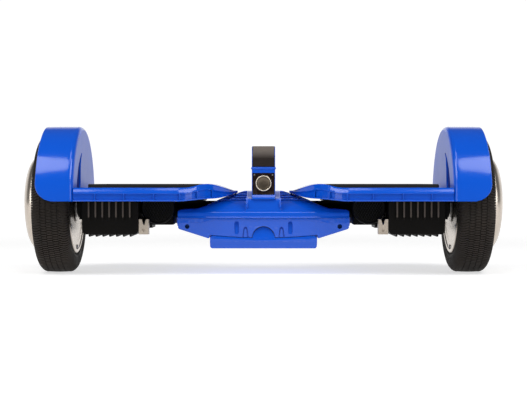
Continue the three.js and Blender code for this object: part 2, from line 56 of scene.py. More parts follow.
CORNERS = ((-1, -1), (-1, 1), (1, -1), (1, 1))  # front left, front right, back left, back right


# ---- measures

def span(node):
    """Lowest and highest corner of a CAD node, in millimetres."""
    low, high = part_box(node)
    return Vector(low) / MM, Vector(high) / MM


TYRE_LOW, TYRE_HIGH = span("right_tyre")
FENDER_LOW, FENDER_HIGH = span("right_fender")
DECK_LOW, DECK_HIGH = span("right_deck_cover")
PAD_LOW, PAD_HIGH = span("right_foot_pad")
UPPER_LOW, UPPER_HIGH = span("housing_upper")
LOWER_LOW, LOWER_HIGH = span("housing_lower")
COVER_LOW, COVER_HIGH = span("battery_cover")
HANDLE_LOW, HANDLE_HIGH = span("handle_frame")
BOX_LOW, BOX_HIGH = span("right_control_box")
CAP_LOW, CAP_HIGH = span("right_hub_cap")
DISC_LOW, DISC_HIGH = span("right_hub_disc")
RIM_LOW, RIM_HIGH = span("right_rim")
SPEAKER_LOW, SPEAKER_HIGH = span("right_speaker")
CLAMP_LOW, CLAMP_HIGH = span("right_shaft_clamp")
RING_LOW, RING_HIGH = span("button_ring")
BUTTON_LOW, BUTTON_HIGH = span("power_button")

AXLE_Z = (TYRE_LOW.z + TYRE_HIGH.z) / 2
TWIST_Z = sum(v.z for v in span("central_shaft")) / 2
WHEEL_X = (TYRE_LOW.x + TYRE_HIGH.x) / 2
BUTTON_Z = (RING_LOW.z + RING_HIGH.z) / 2


# ---- mesh tools

def new_piece(vertices, faces):
    """A mesh object from vertices in millimetres, with its faces turned outwards."""
    mesh = bpy.data.meshes.new("piece")
    mesh.from_pydata([Vector(v) * MM for v in vertices], [], faces)
    piece = bpy.data.objects.new("piece", mesh)
    bpy.context.scene.collection.objects.link(piece)
    tidy(piece)
    return piece


def tidy(piece):
    """Welds doubles and turns every face outwards."""
    mesh = bmesh.new()
    mesh.from_mesh(piece.data)
    bmesh.ops.remove_doubles(mesh, verts=mesh.verts, dist=WELD)
    bmesh.ops.dissolve_degenerate(mesh, dist=WELD, edges=mesh.edges)
    bmesh.ops.recalc_face_normals(mesh, faces=mesh.faces)
    mesh.to_mesh(piece.data)
    mesh.free()


def bake(piece):
    """Applies the modifiers of a piece to its mesh."""
    bpy.context.view_layer.update()
    graph = bpy.context.evaluated_depsgraph_get()
    mesh = bpy.data.meshes.new_from_object(piece.evaluated_get(graph))
    piece.modifiers.clear()
    piece.data = mesh
    return piece


def combine(base, tools, operation):
    """Joins tools to base, or cuts them from it, and removes them."""
    for tool in tools:
        change = base.modifiers.new("combine", "BOOLEAN")
        change.operation = operation
        change.solver = "MANIFOLD"
        change.object = tool
    bake(base)
    for tool in tools:
        bpy.data.objects.remove(tool, do_unlink=True)
    return base


def join(base, *tools):
    return combine(base, tools, "UNION")


def cut(base, *tools):
    return combine(base, tools, "DIFFERENCE")


def meet(base, *tools):
    return combine(base, tools, "INTERSECT")


def soften(piece, width, segments, angle=40):
    """Rounds the edges of a piece that are sharper than an angle."""
    mesh = bmesh.new()
    mesh.from_mesh(piece.data)
    bmesh.ops.remove_doubles(mesh, verts=mesh.verts, dist=2 * WELD)
    bmesh.ops.dissolve_limit(mesh, angle_limit=math.radians(0.6), verts=mesh.verts, edges=mesh.edges)
    mesh.to_mesh(piece.data)
    mesh.free()
    bevel = piece.modifiers.new("soften", "BEVEL")
    bevel.width = width * MM
    bevel.segments = segments
    bevel.limit_method = "ANGLE"
    bevel.angle_limit = math.radians(angle)
    return bake(piece)


def shade(piece, angle=35):
    """Smooth shading that stays crisp over edges sharper than an angle."""
    mesh = bmesh.new()
    mesh.from_mesh(piece.data)
    limit = math.radians(angle)
    for face in mesh.faces:
        face.smooth = True
    for edge in mesh.edges:
        edge.smooth = len(edge.link_faces) == 2 and edge.calc_face_angle(0) < limit
    mesh.to_mesh(piece.data)
    mesh.free()
    even = piece.modifiers.new("even", "WEIGHTED_NORMAL")
    even.keep_sharp = True
    even.weight = 80
    return piece


def place(axis, u, v, along):
    """The point with in-plane coordinates u, v and height along on an axis."""
    return {"X": (along, u, v), "Y": (u, along, v), "Z": (u, v, along)}[axis]


def prism(points, axis, *ends):
    """An outline pulled along an axis from one end to the other."""
    count = len(points)
    vertices = [place(axis, u, v, end) for end in sorted(ends) for u, v in points]
    walls = [(i, (i + 1) % count, (i + 1) % count + count, i + count) for i in range(count)]
    caps = [tuple(range(count))[::-1], tuple(range(count, 2 * count))]
    return new_piece(vertices, walls + caps)


def block(x, y, z):
    (x0, x1), (y0, y1) = sorted(x), sorted(y)
    return prism([(x0, y0), (x1, y0), (x1, y1), (x0, y1)], "Z", *z)


def rod(axis, radius, start, end, centre, sides=48):
    return prism(arc(centre, radius, 0, 360, sides)[:-1], axis, start, end)


def lathe(axis, profile, centre, sides):
    """Turns a closed profile of (radius, height along the axis) points round an axis."""
    u, v = centre
    turns = [(math.cos(TAU * step / sides), math.sin(TAU * step / sides)) for step in range(sides)]
    vertices = [place(axis, u + r * cosine, v + r * sine, level)
                for cosine, sine in turns for r, level in profile]
    return new_piece(vertices, grid_faces(sides, len(profile), True, True))


def grid_faces(rows, columns, wrap_rows=False, wrap_columns=False):
    """Quads over rows of vertices."""
    faces = []
    for row in range(rows if wrap_rows else rows - 1):
        for column in range(columns if wrap_columns else columns - 1):
            near, far = row * columns, (row + 1) % rows * columns
            beside = (column + 1) % columns
            faces.append((near + column, near + beside, far + beside, far + column))
    return faces


def loft(rings):
    """A closed skin over rings of vertices that all have the same count, capped at both ends."""
    columns = len(rings[0])
    faces = grid_faces(len(rings), columns, wrap_columns=True)
    last = (len(rings) - 1) * columns
    faces += [tuple(range(columns))[::-1], tuple(range(last, last + columns))]
    return new_piece([point for ring in rings for point in ring], faces)


# ---- outlines

def arc(centre, radius, start, end, steps):
    """Points on an arc, with angles in degrees."""
    angles = [math.radians(start + (end - start) * i / steps) for i in range(steps + 1)]
    return [(centre[0] + radius * math.cos(a), centre[1] + radius * math.sin(a)) for a in angles]


def mirrored(points):
    """A half outline and its mirror image."""
    return points + [(-u, v) for u, v in reversed(points)]


def closed_ring(x, outside, inside=()):
    """A ring of (x, y, z) points at x from its front to its back, and along its hollow to the front again."""
    over = [(-y, z) for y, z in outside] + outside[::-1]
    return [(x, y, z) for y, z in over + mirrored(list(inside))]


def both_ways(values):
    """Values and their negatives, in order."""
    return sorted({way * value for way in WAYS for value in values})


def rounded(u, v, radius):
    """A rectangle with round corners, from its lowest and highest u and v."""
    corners = [(u[1] - radius, v[1] - radius), (u[0] + radius, v[1] - radius),
               (u[0] + radius, v[0] + radius), (u[1] - radius, v[0] + radius)]
    return [p for i, corner in enumerate(corners) for p in arc(corner, radius, 90 * i, 90 * i + 90, 6)]


def between(value, low, high):
    """0 up to low, 1 from high on, and a smooth step between them."""
    share = min(1, max(0, (value - low) / (high - low)))
    return share * share * (3 - 2 * share)


def along(points, value):
    """Height at a value on straight lines through (position, height) points."""
    if value <= points[0][0]:
        return points[0][1]
    for (a, low), (b, high) in zip(points, points[1:]):
        if value <= b:
            return low + (high - low) * (value - a) / (b - a)
    return points[-1][1]


# ---- materials

class Nodes:
    """A small helper that adds and links the nodes of a material or a world."""

    def __init__(self, owner, shader="Principled BSDF"):
        owner.use_nodes = True
        self.material = owner
        self.tree = owner.node_tree
        self.shader = self.tree.nodes[shader]

    def add(self, kind, inputs=None, **settings):
        node = self.tree.nodes.new(kind)
        for key, value in settings.items():
            setattr(node, key, value)
        for key, value in (inputs or {}).items():
            if hasattr(value, "is_output"):
                self.tree.links.new(value, node.inputs[key])
            else:
                node.inputs[key].default_value = value
        return node

    def link(self, output, key):
        self.tree.links.new(output, self.shader.inputs[key])

    def set(self, key, value):
        self.shader.inputs[key].default_value = value

    def place(self, kind="Object"):
        return self.add("ShaderNodeTexCoord").outputs[kind]

    def part(self, axis, kind="Object"):
        """One part of a place or a normal."""
        return self.add("ShaderNodeSeparateXYZ", {"Vector": self.place(kind)}).outputs[axis]

    def noise(self, scale, detail=3, vector=None):
        inputs = {"Vector": vector or self.place(), "Scale": scale, "Detail": detail}
        return self.add("ShaderNodeTexNoise", inputs).outputs["Fac"]

    def patches(self, scale, detail, low, high, to_low, to_high):
        """A number that varies in patches."""
        return self.remap(self.noise(scale, detail), low, high, to_low, to_high)

    def remap(self, value, low, high, to_low, to_high, interpolation="LINEAR"):
        inputs = {"Value": value, "From Min": low, "From Max": high, "To Min": to_low, "To Max": to_high}
        return self.add("ShaderNodeMapRange", inputs, interpolation_type=interpolation).outputs["Result"]

    def step(self, *steps):
        return self.remap(*steps, "SMOOTHSTEP")

    def maths(self, operation, a, b=0.0):
        return self.add("ShaderNodeMath", {0: a, 1: b}, operation=operation).outputs["Value"]

    def blend(self, share, a, b):
        node = self.add("ShaderNodeMix", data_type="RGBA")
        for key, value in (("Factor", share), ("A", a), ("B", b)):
            kind = "VALUE" if key == "Factor" else "RGBA"
            socket = [s for s in node.inputs if s.name == key and s.type == kind][0]
            if hasattr(value, "is_output"):
                self.tree.links.new(value, socket)
            else:
                socket.default_value = value
        return [s for s in node.outputs if s.type == "RGBA"][0]

    def tones(self, value, color, low_tone, high_tone, low=0.3):
        """A color that gets darker or lighter with a value."""
        share = self.remap(value, low, 0.7, 0, 1)
        return self.blend(share, shade_of(color, low_tone), shade_of(color, high_tone))

    def edges(self, low, high, to_low=0, to_high=1):
        """A number that follows how convex the surface is."""
        point = self.add("ShaderNodeNewGeometry").outputs["Pointiness"]
        return self.remap(point, low, high, to_low, to_high)

    def bump(self, height, strength, distance=0.0002, under=None):
        inputs = {"Height": height, "Strength": strength, "Distance": distance}
        if under:
            inputs["Normal"] = under
        return self.add("ShaderNodeBump", inputs).outputs["Normal"]


def shade_of(color, factor):
    return tuple(min(1, c * factor) for c in color) + (1,)


def glossy_plastic(name, color, roughness=0.13, coat=0.1):
    """Injection moulded plastic: polished outside, satin on the flat walls that face along X, with faint flow
    marks, fine dust and rubbed edges."""
    nodes = Nodes(bpy.data.materials.new(name))
    dust = nodes.patches(1400, 2, 0.68, 0.76, 0, 0.05)
    tone = nodes.blend(dust, nodes.tones(nodes.noise(9, 2), color, 0.97, 1.03), (0.55, 0.6, 0.7, 1))
    rubbed = nodes.maths("MULTIPLY", nodes.edges(0.55, 0.66), nodes.patches(160, 4, 0.45, 0.7, 0, 0.15))
    nodes.link(nodes.blend(rubbed, tone, shade_of([c * 0.6 + 0.25 for c in color], 1)), "Base Color")
    satin = nodes.remap(nodes.maths("ABSOLUTE", nodes.part("X", "Normal")), 0.9, 0.98, 0, 0.27)
    smear = nodes.patches(38, 5, 0.3, 0.75, roughness * 0.9, roughness * 1.2)
    nodes.link(nodes.maths("ADD", smear, nodes.maths("ADD", satin, dust)), "Roughness")
    peel = nodes.bump(nodes.noise(420, 1), 0.03, 0.0001)
    nodes.link(nodes.bump(nodes.noise(2600, 2), 0.02, 0.00005, peel), "Normal")
    nodes.set("Specular IOR Level", 0.42)
    nodes.set("Coat Weight", coat)
    nodes.set("Coat Roughness", 0.05)
    return nodes.material


def grained_plastic(name, color, roughness=0.5, grain=1500, depth=0.3, highlight_depth=None):
    """A matt casting or moulding with a fine grain and scuffed edges; beyond a depth, its tips are painted
    light brown as a highlight.
    """
    nodes = Nodes(bpy.data.materials.new(name))
    fine = nodes.noise(grain, 3)
    scuff = nodes.maths("MULTIPLY", nodes.edges(0.55, 0.64), nodes.patches(220, 4, 0.4, 0.65, 0, 0.3))
    bright = shade_of([c * 2 + 0.05 for c in color], 1)
    tone = nodes.blend(scuff, nodes.tones(nodes.noise(25, 4), color, 0.85, 1.2), bright)
    # painted highlight: beyond the given depth along Y, the fin tips are painted a light brown
    if highlight_depth:
        depth_y = nodes.maths("ABSOLUTE", nodes.part("Y"))
        reach = nodes.remap(depth_y, (highlight_depth - 0.5) * MM, (highlight_depth - 0.2) * MM, 0, 1)
        tone = nodes.blend(reach, tone, (0.085, 0.070, 0.060, 1))
    nodes.link(tone, "Base Color")
    nodes.link(nodes.remap(fine, 0.3, 0.7, roughness * 0.85, roughness * 1.2), "Roughness")
    nodes.link(nodes.bump(fine, depth, 0.00008), "Normal")
    nodes.set("Specular IOR Level", 0.08)
    return nodes.material


def rubber(name, color, dust_and_highlight_color, dust, roughness=0.78, top_highlight=0.0):
    """Matt rubber with a dusty bloom in its hollows, and the faces that look up painted lighter in the same
    colour as a highlight.
    """
    nodes = Nodes(bpy.data.materials.new(name))
    cloud = nodes.noise(60, 5)
    patches = nodes.patches(300, 4, 0.35, 0.7, 0.1, dust * 2)
    bloom = nodes.maths("MULTIPLY", nodes.edges(0.42, 0.5, 1, 0), patches)
    dust_and_highlight = nodes.maths("MAXIMUM", bloom, nodes.patches(18, 3, 0.45, 0.75, 0, dust * 0.5))
    # painted highlight: faces that look up are painted lighter, towards the dust colour
    dust_and_highlight = nodes.maths("MAXIMUM", dust_and_highlight, nodes.remap(nodes.part("Z", "Normal"), 0.1, 1.0, 0, top_highlight))
    nodes.link(nodes.blend(dust_and_highlight, nodes.tones(cloud, color, 0.75, 1.3), dust_and_highlight_color + (1,)), "Base Color")
    nodes.link(nodes.remap(cloud, 0.3, 0.7, roughness * 0.85, min(1, roughness * 1.15)), "Roughness")
    nodes.link(nodes.bump(nodes.noise(1800, 3), 0.35, 0.00008), "Normal")
    nodes.set("Specular IOR Level", 0.25)
    return nodes.material


def turned_metal(name, color, roughness=0.4, across=None, height=0, marks=0.12, tarnish=0.2):
    """Metal with a fine grain. Where a direction across an axis is given, the marks run round that axis
    instead, which lies in the middle at a height in metres."""
    nodes = Nodes(bpy.data.materials.new(name))
    if across:
        flat, rise = nodes.part(across), nodes.maths("SUBTRACT", nodes.part("Z"), height)
        squares = nodes.maths("ADD", nodes.maths("MULTIPLY", flat, flat), nodes.maths("MULTIPLY", rise, rise))
        lines = nodes.add("ShaderNodeCombineXYZ", {"X": nodes.maths("SQRT", squares)}).outputs["Vector"]
        tooling = nodes.noise(2600, 3, lines)
    else:
        tooling = nodes.noise(1500, 4)
    tone = nodes.tones(nodes.noise(45, 5), color, 1.05, 1 - tarnish, 0.35)
    nodes.link(nodes.blend(nodes.remap(tooling, 0.3, 0.7, 0, 0.35), tone, shade_of(color, 0.8)), "Base Color")
    nodes.link(nodes.remap(tooling, 0.3, 0.7, roughness * 0.75, roughness * 1.3), "Roughness")
    nodes.link(nodes.bump(tooling, marks, 0.00006), "Normal")
    nodes.set("Metallic", 1)
    return nodes.material


def circuit_board(name):
    """Solder mask over copper tracks."""
    nodes = Nodes(bpy.data.materials.new(name))
    cells = nodes.add("ShaderNodeTexBrick", {
        "Vector": nodes.place(), "Scale": 90, "Mortar Size": 0.03, "Color1": (0.01, 0.13, 0.05, 1),
        "Color2": (0.012, 0.18, 0.07, 1), "Mortar": (0.03, 0.30, 0.12, 1),
    })
    nodes.link(cells.outputs["Color"], "Base Color")
    nodes.link(nodes.patches(300, 3, 0.3, 0.7, 0.3, 0.5), "Roughness")
    nodes.link(nodes.bump(cells.outputs["Fac"], 0.3, 0.0001), "Normal")
    return nodes.material


BLUE = glossy_plastic("blue_plastic", (0.002, 0.078, 0.54))
LENS = grained_plastic("light_lens", (0.008, 0.030, 0.24), 0.9, 1500, 0.1)
BLACK = grained_plastic("black_plastic", (0.003, 0.003, 0.003))
BLACK_GLOSS = grained_plastic("black_gloss", (0.009, 0.004, 0.004), 0.35, 900, 0.05)
PAD_RUBBER = rubber("pad_rubber", (0.009, 0.009, 0.0095), (0.10, 0.10, 0.11), 0.08)
# the grip's upward faces get a painted highlight
GRIP_RUBBER = rubber("grip_rubber", (0.009, 0.005, 0.004), (0.20, 0.17, 0.15), 0.03, 0.6, 0.8)
TYRE_RUBBER = rubber("tyre_rubber", (0.0115, 0.0085, 0.0065), (0.13, 0.10, 0.08), 0.24, 0.7)
BLACK_ALLOY = grained_plastic("black_alloy", (0.004, 0.004, 0.004), 0.42, 900, 0.2)
# the fin tips of this alloy get a painted highlight
FIN_ALLOY = grained_plastic("finned_alloy", (0.004, 0.0035, 0.003), 0.5, 1100, 0.12, BOX_HIGH.y)
CAST = turned_metal("cast_aluminium", (0.62, 0.54, 0.45), 0.42, marks=0.35, tarnish=0.25)
WHEEL_METAL = turned_metal("turned_aluminium", (0.60, 0.53, 0.46), 0.26, "Y", AXLE_Z * MM, 0.1, 0.12)
RING_METAL = turned_metal("ring_metal", (0.72, 0.64, 0.52), 0.26, "X", BUTTON_Z * MM, 0.05, 0.1)
BUTTON_METAL = turned_metal("button_metal", (0.13, 0.105, 0.08), 0.38, "X", BUTTON_Z * MM, 0.15)
DARK_STEEL = turned_metal("dark_steel", (0.012, 0.035, 0.14))
STEEL = turned_metal("steel", (0.5, 0.5, 0.52), 0.3)
COPPER = turned_metal("copper", (0.6, 0.28, 0.13), marks=0.3, tarnish=0.3)
BRONZE = turned_metal("bronze", (0.5, 0.35, 0.16), marks=0.2, tarnish=0.3)
BOARD = circuit_board("circuit_board")
BATTERY_WRAP = glossy_plastic("battery_wrap", (0.01, 0.03, 0.05), 0.3, 0.2)


def dress(piece, look):
    piece.data.materials.clear()
    piece.data.materials.append(look)
    return piece


def settle(piece, name, body, look, slot, *nodes):
    """Names and dresses a finished piece, rides it on its body and lets it stand for its CAD nodes."""
    piece.name = name
    piece.data.name = name
    dress(piece, look)
    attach(piece, body)
    if nodes:
        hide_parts(*nodes)
    return piece


def both_sides(piece, name, body, look, slot, *nodes):
    """Settles a right hand piece and its mirror image on the left."""
    twin = piece.copy()
    twin.data = piece.data.copy()
    bpy.context.scene.collection.objects.link(twin)
    mesh = bmesh.new()
    mesh.from_mesh(twin.data)
    for vertex in mesh.verts:
        vertex.co.x = -vertex.co.x
    bmesh.ops.reverse_faces(mesh, faces=mesh.faces)
    mesh.to_mesh(twin.data)
    mesh.free()
    for side, shape in (("right", piece), ("left", twin)):
        settle(shape, f"{side}_{name}", body.replace("SIDE", side), look, slot,
               *(node.replace("SIDE", side) for node in nodes))


# ---- wheels

TREAD_UNITS = 156
TREAD_DEPTH = 1.6
DISC_SCREWS = 54.2  # radius of the circle of screws on the motor's cover
TREAD_GROOVES = ((3.0, 3.7), (9.6, 10.3))  # grooves round the tyre, at these distances from its middle


def tyre_profile():
    """(x, radius) over the outside of the tyre from one bead to the other."""
    half = TYRE_HIGH.x - WHEEL_X
    crown = TYRE_HIGH.z - AXLE_Z
    bead = RIM_HIGH.z - AXLE_Z + 0.4
    side = [(18.2, bead), (19.4, bead + 0.3), (19.9, bead + 1.6), (20.9, bead + 2.0), (21.6, bead + 4.2),
            (half - 0.05, bead + 8), (half, bead + 9.5), (half, bead + 10.5), (half - 0.1, bead + 13.4),
            (21.3, bead + 15.8), (20.3, bead + 17.8)]
    shoulder = arc((12.6, crown - 8.4), 8.2, 40, 82, 6)
    tread_xs = [12.4, 10.4, 10.3, 9.6, 9.5, 6.8, 3.8, 3.7, 3.0, 2.9, 1.5]
    tread = [(x, crown - 0.5 * (x / 13) ** 2) for x in tread_xs]
    outside = side + shoulder + tread
    return [(-x, r) for x, r in outside] + [(0, crown)] + [(x, r) for x, r in reversed(outside)]


def tread_cut(x, radius, in_sipe):
    """How deep the tread is cut at a point of the profile."""
    reach = abs(x)
    crown = TYRE_HIGH.z - AXLE_Z
    if any(low - 0.01 < reach < high + 0.01 for low, high in TREAD_GROOVES):
        return TREAD_DEPTH
    if radius < crown - 16:
        return 0
    return in_sipe * (TREAD_DEPTH - 0.4 * between(crown - radius, 8, 16))


def tyre():
    """A pneumatic tyre: grooves round its crown, and fine lugs that run over its shoulders."""
    profile = tyre_profile()
    bead = RIM_HIGH.z - AXLE_Z + 0.4
    normals = []
    for index, (x, radius) in enumerate(profile):
        before, after = profile[max(0, index - 1)], profile[min(len(profile) - 1, index + 1)]
        along_x, outwards = after[0] - before[0], after[1] - before[1]
        length = math.hypot(along_x, outwards)
        normals.append((-outwards / length, along_x / length))
    shares = ((0.0, 1), (0.34, 1), (0.38, 0), (0.96, 0))
    vertices = []
    for unit in range(TREAD_UNITS):
        for share, in_sipe in shares:
            for (x, radius), (normal_x, normal_r) in zip(profile, normals):
                depth = tread_cut(x, radius, in_sipe)
                middle_row = TREAD_GROOVES[0][1] < abs(x) < TREAD_GROOVES[1][0]
                slant = 0.5 * middle_row + 0.8 * between(abs(x), 10, 20)
                angle = TAU * (unit + share + slant) / TREAD_UNITS
                lower = radius - depth * normal_r
                turned = lower * math.cos(angle), AXLE_Z + lower * math.sin(angle)
                vertices.append((WHEEL_X + x - depth * normal_x, *turned))
            angle = TAU * (unit + share) / TREAD_UNITS
            inside = bead * math.cos(angle), AXLE_Z + bead * math.sin(angle)
            vertices += [(WHEEL_X + x, *inside) for x in (17.0, 0, -17.0)]
    rows = TREAD_UNITS * len(shares)
    piece = new_piece(vertices, grid_faces(rows, len(profile) + 3, True, True))
    return shade(piece, 40)


def motor_screws():
    """The six screws of the motor's cover, or their pockets, as centres in the plane of the wheel."""
    return [(DISC_SCREWS * math.cos(a), AXLE_Z + DISC_SCREWS * math.sin(a)) for a in
            (TAU * (index + 0.5) / 6 for index in range(6))]


def wheel_lathe(profile):
    """Turns a closed profile of (radius, distance from the wheel's middle) points round the axle."""
    return lathe("X", [(radius, WHEEL_X + x) for radius, x in profile], (0, AXLE_Z), 128)


def rim():
    low, high = RIM_LOW.x - WHEEL_X, RIM_HIGH.x - WHEEL_X
    outer = RIM_HIGH.z - AXLE_Z
    wall = high - 4
    profile = [
        (outer - 5, low), (outer - 1.2, low), (outer - 0.4, low + 0.4), (outer, low + 1.2),
        (outer - 1.6, low + 4), (outer - 1.6, high - 4), (outer, high - 1.2), (outer - 0.4, high - 0.4),
        (outer - 1.2, high), (20, high), (11.3, high), (11.3, wall - 2), (16.3, wall - 2), (16.3, wall),
        (outer - 5, wall),
    ]
    return shade(wheel_lathe(profile), 30)


def hub_disc():
    """The inner cover of the motor: a dished plate with a raised rim, a step and six screw pockets."""
    face = DISC_LOW.x - WHEEL_X
    back = face + 2.7
    outer = DISC_HIGH.z - AXLE_Z
    profile = [
        (outer, back), (outer, face + 0.9), (outer - 0.7, face + 0.2), (outer - 1.4, face),
        (outer - 3.6, face), (outer - 4.3, face + 0.2), (outer - 4.6, face + 0.9), (50, face + 0.9),
        (48.6, face + 1.2), (47.4, face + 1.7), (26, face + 1.7), (24.6, face + 1.5), (23.4, face + 0.7),
        (22.4, face + 0.4), (12.6, face + 0.4), (11.6, face + 1.1), (11.3, back + 4.9), (16.3, back + 4.9),
        (16.3, back),
    ]
    plate = wheel_lathe(profile)
    x = WHEEL_X + face
    pockets = [rod("X", 3.4, x - 1, x + 1.4, centre, 24) for centre in motor_screws()]
    return shade(soften(cut(plate, *pockets), 0.15, 1))


def hub_disc_screws():
    """The socket screws of the motor's cover."""
    foot, face, head = DISC_LOW.x + 1.5, DISC_LOW.x + 0.1, 2.6
    profile = [(0.01, foot), (head, foot), (head, face - 0.3), (head - 0.3, face), (head * 0.5, face),
               (head * 0.45, face - 0.5), (0.01, face - 0.5)]
    return shade(join(*(lathe("X", profile, centre, 20) for centre in motor_screws())), 30)


def hub_cap():
    """The outer cover: a spun dome with a rolled edge, a shallow groove and a raised centre."""
    tip = CAP_HIGH.x - WHEEL_X
    foot = CAP_LOW.x - WHEEL_X
    edge = CAP_HIGH.z - AXLE_Z
    outside = [
        (edge - 3, foot), (edge - 0.3, foot), (edge, foot + 0.4), (edge, tip - 17.6), (57.7, tip - 14.6),
        (56.7, tip - 11.8), (54.6, tip - 9), (51.6, tip - 6.8), (48, tip - 5), (44.5, tip - 3.8),
        (41, tip - 2.9), (37, tip - 2.1), (34.4, tip - 1.8), (33.8, tip - 2.3), (32.6, tip - 2.3),
        (32, tip - 1.4), (28, tip - 0.9), (22, tip - 0.5), (14, tip - 0.2), (13.2, tip - 0.6),
        (12.4, tip - 0.6), (11.8, tip - 0.1), (6, tip - 0.02), (0.01, tip),
    ]
    inside = [(0.01, tip - 2.7), (20, tip - 3.2), (34, tip - 5.2), (49, tip - 9.6), (edge - 3, tip - 15.5)]
    return shade(wheel_lathe(outside + inside), 25)


def wheels():
    for shape, name, look, slot, node in (
        (tyre(), "tyre_tread", TYRE_RUBBER, "tyre_rubber", "SIDE_tyre"),
        (rim(), "wheel_rim", WHEEL_METAL, "bare_aluminium", "SIDE_rim"),
        (hub_disc(), "motor_cover", WHEEL_METAL, "bare_aluminium", "SIDE_hub_disc"),
        (hub_cap(), "wheel_cap", WHEEL_METAL, "bare_aluminium", "SIDE_hub_cap"),
    ):
        both_sides(shape, name, "SIDE_wheel", look, slot, node)
    both_sides(hub_disc_screws(), "motor_cover_screws", "SIDE_wheel", STEEL, "steel")


# ---- fender

LIGHT_INSET = 29  # from the fender's outside down to the outer edge of its light

def fender():
    """A quarter-round arch with a closed inner wall, rolled lips and a light slot cut in the wall."""
    radius = FENDER_HIGH.z - AXLE_Z
    inner_x, outer_x = FENDER_LOW.x, FENDER_HIGH.x
    bottom = FENDER_LOW.z
    wall, fillet, corner = 4.5, 6, 21
    rings = []
    for step in range(181):
        angle = math.radians(-4 + 188 * step / 180)
        height = AXLE_Z + radius * math.sin(angle)
        drop = max(0, bottom + corner - height)
        lip_x = outer_x - corner + math.sqrt(max(0.01, corner ** 2 - min(drop, corner) ** 2))
        section = [(radius - wall, lip_x - 1)]
        section += [(radius - 1.5 + 1.5 * math.cos(a), lip_x - 1.2 + 1.2 * math.sin(a)) for a in
                    (math.radians(150 - 15 * i) for i in range(9))]
        section += [(radius - 0.15, lip_x - 5), (radius, lip_x - 12), (radius, inner_x + fillet + 3)]
        section += arc((radius - fillet, inner_x + fillet), fillet, 0, -90, 10)
        section += [(80, inner_x), (60, inner_x), (40, inner_x), (18.6, inner_x), (18.6, inner_x + wall)]
        section += [(40, inner_x + wall), (60, inner_x + wall), (80, inner_x + wall)]
        section += arc((radius - fillet, inner_x + fillet), fillet - wall, -90, 0, 6)
        section += [(radius - wall, inner_x + fillet + 3)]
        rings.append([(x, r * math.cos(angle), AXLE_Z + r * math.sin(angle)) for r, x in section])
    piece = loft(rings)
    cut(piece, block((inner_x - 5, outer_x + 5), (-120, 120), (40, bottom)))
    groove = light_slot(radius - LIGHT_INSET, 0, inner_x - 1, inner_x + 3)
    return shade(cut(piece, groove), 40)


def light_slot(radius, gap, low_x, high_x):
    """The crescent of the light on the front of the fender's inner wall, smaller by a gap."""
    angles = [108 + 57 * step / 36 for step in range(37)]
    outer = [arc((0, AXLE_Z), radius - gap, a, a, 1)[0] for a in angles]
    widths = [1.2 + 25 * between(a, 104, 146) for a in angles]
    inner = [arc((0, AXLE_Z), radius - w + gap, a, a, 1)[0] for a, w in zip(angles, widths)]
    return prism(outer + inner[::-1], "X", low_x, high_x)


def light_lens():
    """The smoked lens at the bottom of the fender's light recess."""
    radius, inner_x = FENDER_HIGH.z - AXLE_Z - LIGHT_INSET, FENDER_LOW.x
    return shade(light_slot(radius, 0.1, inner_x + 1.6, inner_x + 3.4), 40)


# ---- deck

DECK_TIP = 32
RIB_XS = (61, 78, 98, 128, 163, 196.5)
PAD_POCKET_Z = 102.9
PAD_CORNER = 6
PAD_GAP = 0.5
TWIST_LIMIT = math.radians(8)


def deck_half_depth(x):
    return along([(32, 7), (34, 14), (37, 22.5), (41, 31), (46, 40), (52, 49.5), (60, 61.5), (68, 71),
                  (76, 79), (84, 85.3), (92, 89.5), (100, 91.8), (110, 93)], x)


def deck_top(x):
    return along([(32, 99.3), (35, 100.2), (39, 101.4), (44, 103.2), (50, 105.3), (56, 107.2), (61, 108.4),
                  (65, 108.9), (68, 109), (72, 108.7), (77, 107.6), (82, 106.1), (87, 105), (91, 104.6),
                  (96, 104.5)], x)


def deck_bottom(x):
    return along([(32, 97.6), (36, 96.6), (40, 95.2), (45, 93.7), (50, 92.5), (55, 91.7), (60, 91.3),
                  (68, 91.0), (76, 90.4), (82, 89.8), (88, 89.1), (95, 88.5)], x)


def pocket_half_depth(x):
    """Half the depth of the foot mat's pocket at x, less towards its rounded corners."""
    radius = PAD_CORNER + PAD_GAP
    short = min(radius, max(0, PAD_CORNER - min(x - PAD_LOW.x, PAD_HIGH.x - x)))
    return PAD_HIGH.y - PAD_CORNER + math.sqrt(radius ** 2 - short ** 2)


def deck_hollow(x):
    """Half the depth of the deck's hollow underside at x."""
    return max(0.5, deck_half_depth(x) - 5.2 - 2.5 * between(x, DECK_TIP, 60) * between(60, x, x + 1))


def deck_ceiling(x):
    """The height of the hollow's roof at x."""
    skin = 3.8 + 0.6 * between(x, 60, 80)
    return max(deck_bottom(x) + 0.8, min(deck_top(x) - skin, 104.4 - 3.4 * between(x, 66, 76)))


def headroom(x, depth):
    """The height that a deck leaves free over the housing at the ends of its twist."""
    rim = deck_bottom(x) - TWIST_Z
    swing = rim * math.sin(TWIST_LIMIT)
    if x < DECK_LOW.x or depth > deck_half_depth(x + 1.2) * math.cos(TWIST_LIMIT) + swing + 0.5:
        return UPPER_HIGH.z
    if x > DECK_LOW.x + 1.5 and depth < deck_hollow(x) * math.cos(TWIST_LIMIT) + swing - 3.5:
        rim = deck_ceiling(x) - TWIST_Z
    return TWIST_Z + rim / math.cos(TWIST_LIMIT) - depth * math.tan(TWIST_LIMIT) - 0.35


